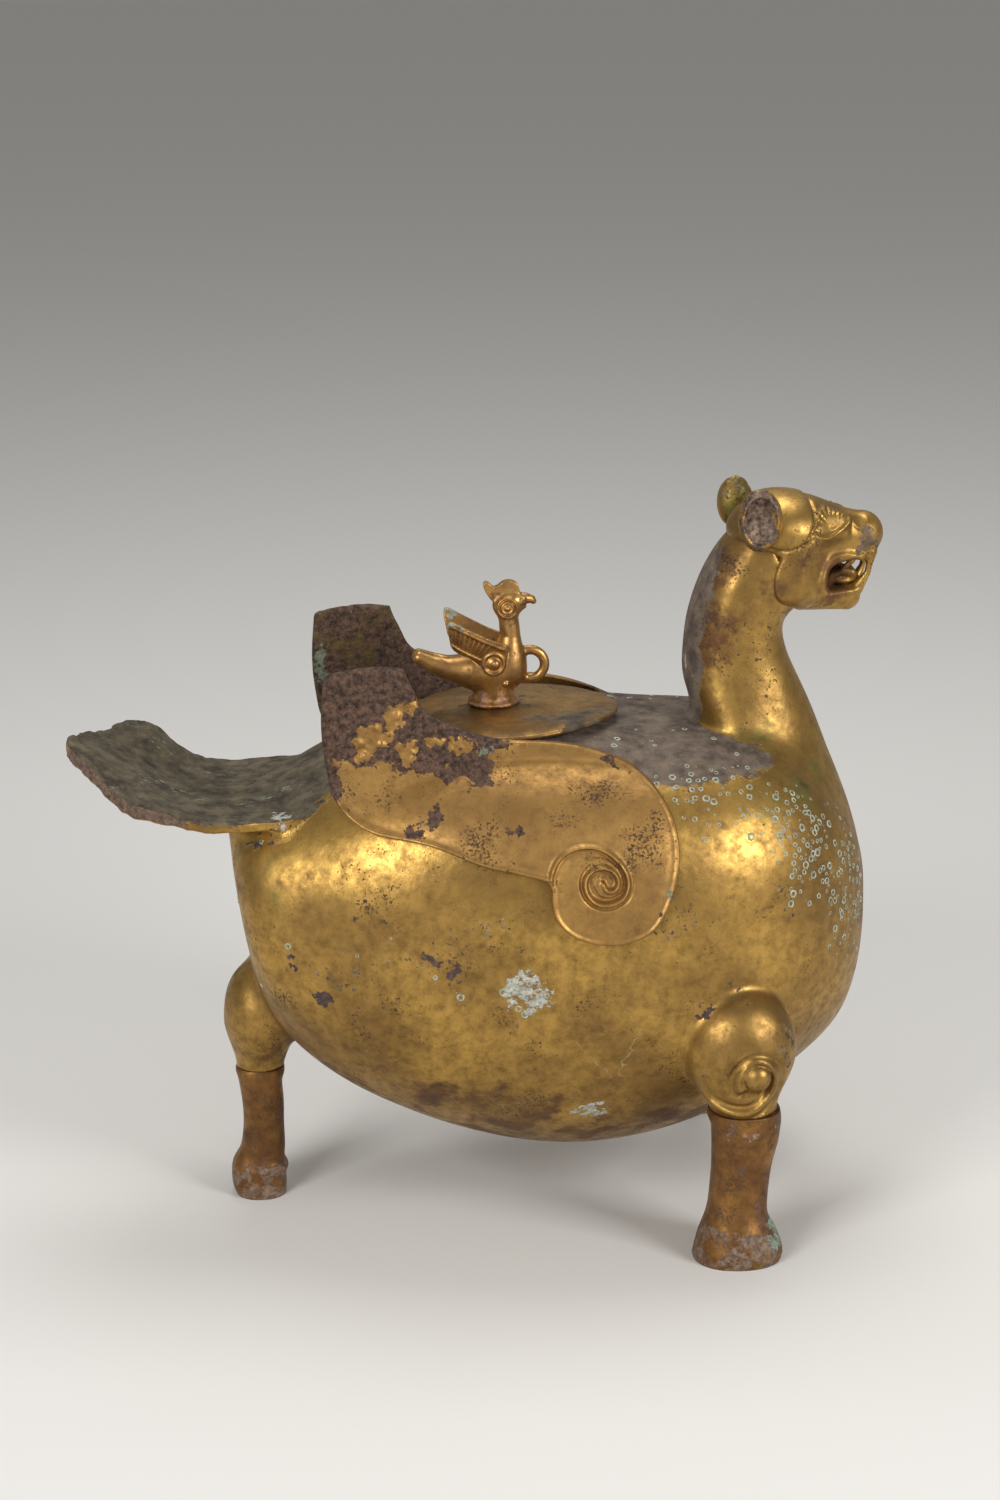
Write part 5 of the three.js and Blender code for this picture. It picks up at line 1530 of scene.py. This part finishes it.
@dataclass
class VerdigrisRings:
    """Little rings of pale corrosion, crowded on the breast and thin elsewhere on the belly."""

    zones: tuple = (
        ((116, 70, 221), (46, 34, 19), 0.55), ((152, 66, 194), (24, 30, 30), 0.9),
        ((170, 50, 166), (18, 26, 44), 0.75), ((17, 97, 137), (13, 14, 10), 1.0),
        ((-15, 94, 133), (6, 12, 6), 0.8), ((48, 80, 71), (9, 14, 4), 1.0),
        ((-30, 88, 165), (60, 20, 22), 0.04), ((-100, 45, 150), (24, 40, 60), 0.04),
        ((40, 60, 236), (130, 50, 14), 0.08))
    spacing: float = 2.4
    radius: float = 0.95
    seed: int = 7

    def carrier(self, kit: Kit) -> bpy.types.Object:
        """Return the part of the belly on which rings grow, with how thickly they do."""
        points, quads = kit.belly.points, kit.belly.quads
        growth = np.zeros(len(points))
        folded = points * [1, 0, 1] + [0, 1, 0] * np.abs(points)
        for middle, radii, thick in self.zones:
            away = np.linalg.norm((folded - list(middle)) / radii, axis=1)
            growth = np.maximum(growth, thick * (1 - eased(away, 0.45, 1.15)))
        growth *= np.where(points[:, 1] > 0, 0.8, 1.0)
        quads = quads[growth[quads].max(axis=1) > 0.01]
        used, quads = np.unique(quads, return_inverse=True)
        base = Skin(points[used], quads.reshape(-1, 4)).as_object("ring_carrier", kit.shift)
        base.data.attributes.new("growth", "FLOAT", "POINT").data.foreach_set("value", growth[used])
        return base

    def tree(self) -> bpy.types.NodeTree:
        """Return the node tree that scatters the rings."""
        tree = started("verdigris_rings", (
            ("Spacing", "NodeSocketFloat"), ("Ring radius", "NodeSocketFloat"), ("Seed", "NodeSocketInt"),
            ("Material", "NodeSocketMaterial")))
        own = add(tree, "NodeGroupInput").outputs
        growth = add(tree, ATTRIBUTE, {"Name": "growth"}, data_type="FLOAT").outputs[0]
        spots = add(tree, "GeometryNodeDistributePointsOnFaces", {
            "Mesh": own["Geometry"], "Distance Min": own["Spacing"], "Density Max": 1.1e5,
            "Density Factor": growth, "Seed": own["Seed"]}, distribute_method="POISSON").outputs
        size = add(tree, "FunctionNodeRandomValue", {2: 0.45, 3: 1.6, "Seed": own["Seed"]},
                   data_type="FLOAT").outputs[1]
        size = add(tree, MATH, {0: size, 1: own["Ring radius"]}, operation="MULTIPLY").outputs[0]
        # One ring is 10 by 4 sides, low and squat, a radius of 1 before it is scaled
        hoop = add(tree, "GeometryNodeCurvePrimitiveCircle", {"Resolution": 10, "Radius": 1.0}).outputs[0]
        wire = add(tree, "GeometryNodeCurvePrimitiveCircle", {"Resolution": 4, "Radius": 0.36}).outputs[0]
        ring = add(tree, "GeometryNodeCurveToMesh", {"Curve": hoop, "Profile Curve": wire}).outputs[0]
        ring = add(tree, "GeometryNodeTransform", {"Geometry": ring, "Scale": (1.0, 1.0, 0.6)}).outputs[0]
        placed = add(tree, "GeometryNodeInstanceOnPoints", {
            "Points": spots["Points"], "Instance": ring, "Rotation": spots["Rotation"],
            "Scale": size}).outputs[0]
        placed = add(tree, "GeometryNodeRealizeInstances", {0: placed}).outputs[0]
        # Each ring is pushed out of round by half a millimetre of noise
        waver = add(tree, NOISE, {"Scale": 900.0, "Detail": 1.0}).outputs["Color"]
        waver = add(tree, VECTOR, {0: waver, 1: (0.5, 0.5, 0.5)}, operation="SUBTRACT").outputs[0]
        waver = add(tree, VECTOR, {0: waver, "Scale": 0.9 * MM}, operation="SCALE").outputs["Vector"]
        placed = add(tree, "GeometryNodeSetPosition", {"Geometry": placed, "Offset": waver}).outputs[0]
        dressed = add(tree, "GeometryNodeSetMaterial", {"Geometry": placed, "Material": own["Material"]})
        add(tree, "NodeGroupOutput", {0: dressed.outputs[0]})
        return tree

    def build(self, kit: Kit) -> None:
        """Grow the rings."""
        piece = grown(self.carrier(kit), self.tree(), {
            "Spacing": self.spacing * MM, "Ring radius": self.radius * MM, "Seed": self.seed,
            "Material": kit.verdigris}, "verdigris_rings")
        kit.finish(piece, kit.verdigris, "gilt_bronze", "vessel")


@dataclass
class Bird:
    """The bird: crest, ringed eye, beak, cupped wings with hatched feathers, blunt tail and breast loop."""

    wing: tuple = ((-11.4, 291), (-8.4, 289.8), (-2.8, 286.8), (4, 283.4), (10, 280.6), (14.6, 278.4),
                   (14.6, 271), (10, 266.6), (4.4, 268.4), (-2.6, 273), (-9.8, 277.4), (-11.6, 283))
    rim: tuple = ((-10.8, 289.4), (-7.3, 287.2), (-2, 284.4), (2.6, 281.8), (8, 279.2), (13.4, 276.8))
    lower_rim: tuple = ((-10.6, 279.6), (-7, 277), (-2.6, 274.4), (2.6, 271.6))
    crest: tuple = ((8.8, 299), (7, 301.6), (5.6, 304.4), (5.9, 306.8), (7.6, 306.2), (9.6, 304.4),
                    (11.8, 304.9), (14.4, 306.8), (17.2, 307.4), (20.2, 306.3), (21.6, 304), (21.2, 300),
                    (14, 297))
    boss: tuple = (9.2, 269.6)
    eye: tuple = (16.0, 295.2)
    splay: float = 0.26
    wing_foot: float = 8.0
    rib_spacing: float = 1.9
    rib_radius: float = 0.72
    foot_z: float = 247.5
    fineness: float = 0.42

    def wing_y(self, z: Value) -> Value:
        """Return how far out the middle of a wing lies at a height."""
        return self.wing_foot + self.splay * (z - 270)

    def form(self, block: Block) -> Points:
        """Return the bird's field, without the feather ribs."""
        out = np.abs(block.y)
        body = self.winged(block, self.bodied(block, out), out)
        return self.footed(block, self.eyed(block, body, out))

    def bodied(self, block: Block, out: Points) -> Points:
        """Return the field of body, neck, head, beak, tail and crest; out is the distance from the middle."""
        body = block.ellipsoid((8.0, 0, 264.0), (17, 10.2, 10.8))
        body = joined(body, block.ellipsoid((17.0, 0, 266.0), (8.0, 8.2, 10.2)), 4.0)
        neck = block.path([(17.4, 0, 272), (17.8, 0, 281), (17.0, 0, 290)], [7.2, 4.9, 4.7])
        body = joined(body, neck, 4.0)
        body = joined(body, block.ellipsoid((16.2, 0, 295.6), (6.8, 5.4, 6.4)), 2.5)
        beak = block.path([(20.5, 0, 298.0), (25.0, 0, 298.8), (27.8, 0, 298.2), (28.8, 0, 297.3)],
                          [4.2, 2.6, 2.0, 1.5])
        body = joined(body, beak, 1.5)
        body = joined(body, block.path([(20.5, 0, 294), (24.2, 0, 294.8)], [3.0, 1.3]), 1.5)
        tail = block.path([(-2, 1.4, 264.2), (-12, 2.2, 265.6), (-19, 2.6, 268.2), (-25.4, 2.4, 271.4)],
                          [7.6, 5.4, 4.2, 3.2])
        body = joined(body, tail, 3.0)
        body = body + 0.5 * np.exp(-((out / 0.9) ** 2)) * eased(-block.x, 10, 18)
        crest = np.maximum(outline_distance(block.x, block.z, smooth_line(self.crest, 90, closed=True)),
                           out - 1.5)
        return joined(body, crest - 0.4, 1.2)

    def winged(self, block: Block, body: Points, out: Points) -> Points:
        """Return the bird's field with its wings, their rims and their bosses."""
        middle = self.wing_y(block.z)
        offset = out - middle
        blade = np.maximum(block.outline(self.wing) + 0 * block.y, np.abs(offset) - 1.1) - 0.3
        outer = eased(offset, 0, 0.8)
        rims = np.exp(-((block.near_line(self.rim) / 0.75) ** 2))
        rims = rims + np.exp(-((block.near_line(self.lower_rim) / 0.6) ** 2))
        blade = blade - 0.6 * rims * outer
        body = joined(body, blade, 1.0)
        x, z = self.boss
        boss_y = self.wing_y(z) + 0.8
        body = joined(body, block.ellipsoid((x, boss_y, z), (6.0, 2.2, 6.0)), 0.5)
        ring = np.hypot(block.x - x, block.z - z)
        off = eased(out, boss_y - 1.5, boss_y)
        rope = np.exp(-(((ring - 4.9) / 0.7) ** 2)) - np.exp(-(((ring - 3.4) / 0.7) ** 2))
        body = body - 0.75 * off * rope
        return joined(body, block.ellipsoid((x + 0.6, boss_y + 1.2, z), (2.3, 2.2, 2.3)), 0.3)

    def eyed(self, block: Block, body: Points, out: Points) -> Points:
        """Return the bird's field with two rings and a pupil on each side of the head."""
        x, z = self.eye
        eye = np.hypot(block.x - x, block.z - z)
        off = eased(out, 2.5, 4.2)
        rings = 0.75 * np.exp(-(((eye - 4.6) / 0.55) ** 2)) + 0.7 * np.exp(-(((eye - 2.7) / 0.5) ** 2))
        body = body - off * (rings - 0.5 * np.exp(-(((eye - 3.65) / 0.42) ** 2)))
        return joined(body, block.ellipsoid((x, 5.0, z), (1.4, 1.5, 1.4)), 0.3)

    def footed(self, block: Block, body: Points) -> Points:
        """Return the bird's field with the loop on its breast, its round foot and the solder under it."""
        around = np.hypot(block.x - 27.2, block.z - 266.4) - 7.0
        loop = np.sqrt(around**2 + block.y**2) - 2.3
        body = joined(body, np.where(block.x < 20, FAR, loop), 1.0)
        foot = block.rod((9.8, 0, 251), (9.8, 0, 262), 9.6, 9.0)
        body = joined(body, foot, 2.5)
        spread = block.ellipsoid((9.8, 0, 248.9), (12.4, 11.8, 3.2)) + 0.6 * block.noise(3.0, 21)
        body = joined(body, spread, 1.5)
        body = joined(body, block.ellipsoid((15.0, 8.4, 259.4), (1.7, 1.7, 1.7)), 0.4)
        return np.maximum(body, self.foot_z - block.z)

    def rib_tree(self) -> bpy.types.NodeTree:
        """Return the node tree that sets a rib on each of the carrier's points."""
        tree = started("feather_ribs", (
            ("Rib radius", "NodeSocketFloat"), ("Material", "NodeSocketMaterial")))
        own = add(tree, "NodeGroupInput").outputs
        way = add(tree, ATTRIBUTE, {"Name": "way"}, data_type="FLOAT_VECTOR").outputs[0]
        reach = add(tree, ATTRIBUTE, {"Name": "reach"}, data_type="FLOAT").outputs[0]
        turn = add(tree, "FunctionNodeAlignRotationToVector", {"Vector": way}, axis="Z").outputs[0]
        rib = add(tree, "GeometryNodeMeshUVSphere", {"Segments": 6, "Rings": 6, "Radius": 1.0}).outputs[0]
        size = add(tree, "ShaderNodeCombineXYZ", {
            0: own["Rib radius"], 1: own["Rib radius"], 2: reach}).outputs[0]
        ribs = add(tree, "GeometryNodeInstanceOnPoints", {
            "Points": own["Geometry"], "Instance": rib, "Rotation": turn, "Scale": size}).outputs[0]
        ribs = add(tree, "GeometryNodeRealizeInstances", {0: ribs}).outputs[0]
        dressed = add(tree, "GeometryNodeSetMaterial", {"Geometry": ribs, "Material": own["Material"]})
        add(tree, "NodeGroupOutput", {0: dressed.outputs[0]})
        return tree

    def ribs(self, kit: Kit) -> bpy.types.Object:
        """Lay the feathers' ribs in a row between the rims of each wing."""
        upper, lower = smooth_line(self.rim, 120), smooth_line(self.lower_rim, 120)
        middles, ways, reaches = [], [], []
        count = int((self.rim[-1][0] - self.rim[0][0] - 8) / self.rib_spacing)
        for number in range(count):
            share = (number + 0.6) / count
            top = upper[int(share * 92) + 4]
            foot = lower[min(int(share * 112) + 4, 119)]
            top, foot = top * 0.94 + foot * 0.06, top * 0.08 + foot * 0.92
            for side in Side:
                ends = [np.array([p[0], side.value * (self.wing_y(p[1]) + 1.5), p[1]]) for p in (top, foot)]
                middles.append((ends[0] + ends[1]) / 2)
                ways.append(ends[0] - ends[1])
                reaches.append(np.linalg.norm(ways[-1]) / 2 * MM)
        base = Skin(np.array(middles), np.zeros((0, 4), int)).as_object("rib_carrier", kit.shift)
        base.data.attributes.new("way", "FLOAT_VECTOR", "POINT").data.foreach_set("vector", np.ravel(ways))
        base.data.attributes.new("reach", "FLOAT", "POINT").data.foreach_set("value", reaches)
        return grown(base, self.rib_tree(), {"Rib radius": self.rib_radius * MM, "Material": kit.bird},
                     "feather_ribs")

    def build(self, kit: Kit) -> None:
        """Cast the bird and lay its feathers."""
        block = Block((-31, -19, 246), (39, 19, 310), self.fineness)
        kit.cast(block.skin(self.form(block)), "bird_casting", kit.bird, "gilt_bronze", "lid", "bird_knob")
        kit.finish(self.ribs(kit), kit.bird, "gilt_bronze", "lid")


# The studio


@dataclass(frozen=True)
class Lamp:
    """A soft box: its place and width in metres, and its power in watts."""

    name: str
    place: Place
    size: float
    power: float


@dataclass
class Studio:
    """The pale floor, the lamps and the camera at the photograph's angle."""

    lamps: tuple[Lamp, ...] = (
        Lamp("left_box", (-1.1, -1.3, 1.0), 0.7, 21), Lamp("right_box", (1.2, -1.1, 0.9), 0.6, 18),
        Lamp("top_box", (0.1, 0.5, 1.7), 0.9, 12))
    lamp_aim: Place = (0, 0, 0.18)
    world_tone: str = "C9C8C6"
    world_strength: float = 0.5
    floor_tone: str = "DAD8D4"
    floor_reach: float = 6.0
    azimuth: float = -5.0
    elevation: float = 17.5
    distance: float = 1.690
    lens: float = 85.0
    target: Place = (13.0, 0.0, 224.0)

    def build_camera(self, shift: float) -> None:
        """Stand the camera where the photograph was taken from."""
        data = bpy.data.cameras.new("camera")
        data.lens = self.lens
        data.sensor_width = 36
        data.sensor_fit = "AUTO"
        camera = bpy.data.objects.new("camera", data)
        bpy.context.scene.collection.objects.link(camera)
        a, e = math.radians(self.azimuth), math.radians(self.elevation)
        back = Vector((math.sin(a) * math.cos(e), -math.cos(a) * math.cos(e), math.sin(e)))
        target = Vector(self.target) + Vector((shift, 0, 0))
        camera.location = target * MM + back * self.distance
        camera.rotation_euler = back.to_track_quat("Z", "Y").to_euler()
        bpy.context.scene.camera = camera

    def build_floor(self) -> None:
        """Lay a pale paper floor."""
        mesh = bpy.data.meshes.new("floor")
        r = self.floor_reach
        mesh.from_pydata([(-r, -r, 0), (r, -r, 0), (r, r, 0), (-r, r, 0)], [], [(0, 1, 2, 3)])
        floor = bpy.data.objects.new("floor", mesh)
        bpy.context.scene.collection.objects.link(floor)
        material = bpy.data.materials.new("floor_paper")
        material.use_nodes = True
        shader = material.node_tree.nodes["Principled BSDF"]
        shader.inputs["Base Color"].default_value = srgb(self.floor_tone)
        shader.inputs["Roughness"].default_value = 0.85
        mesh.materials.append(material)

    def build_lamps(self) -> None:
        """Hang two soft boxes left and right of the camera and one above, in a grey world."""
        for lamp in self.lamps:
            data = bpy.data.lights.new(lamp.name, "AREA")
            data.size = lamp.size
            data.energy = lamp.power
            box = bpy.data.objects.new(lamp.name, data)
            box.location = lamp.place
            towards = Vector(lamp.place) - Vector(self.lamp_aim)
            box.rotation_euler = towards.to_track_quat("Z", "Y").to_euler()
            bpy.context.scene.collection.objects.link(box)
        world = bpy.data.worlds.new("world")
        world.use_nodes = True
        world.node_tree.nodes["Background"].inputs["Color"].default_value = srgb(self.world_tone)
        world.node_tree.nodes["Background"].inputs["Strength"].default_value = self.world_strength
        bpy.context.scene.world = world


def main() -> None:
    """Build the stage, then each casting in order."""
    logging.basicConfig(level=logging.INFO, format="%(message)s")
    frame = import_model()
    bpy.context.scene.view_settings.view_transform = "Standard"
    kit = Kit()
    studio = Studio()
    studio.build_camera(kit.shift)
    studio.build_floor()
    studio.build_lamps()
    for part in (Belly(), Neck(), Head(), Wing(), Tail(), Legs(), VerdigrisRings(), Lid(), Bird()):
        part.build(kit)
    rivet = frame["nodes"]["bird_rivet"]
    rivet.data.materials.clear()
    rivet.data.materials.append(kit.brown)


if __name__ == "__main__":
    main()
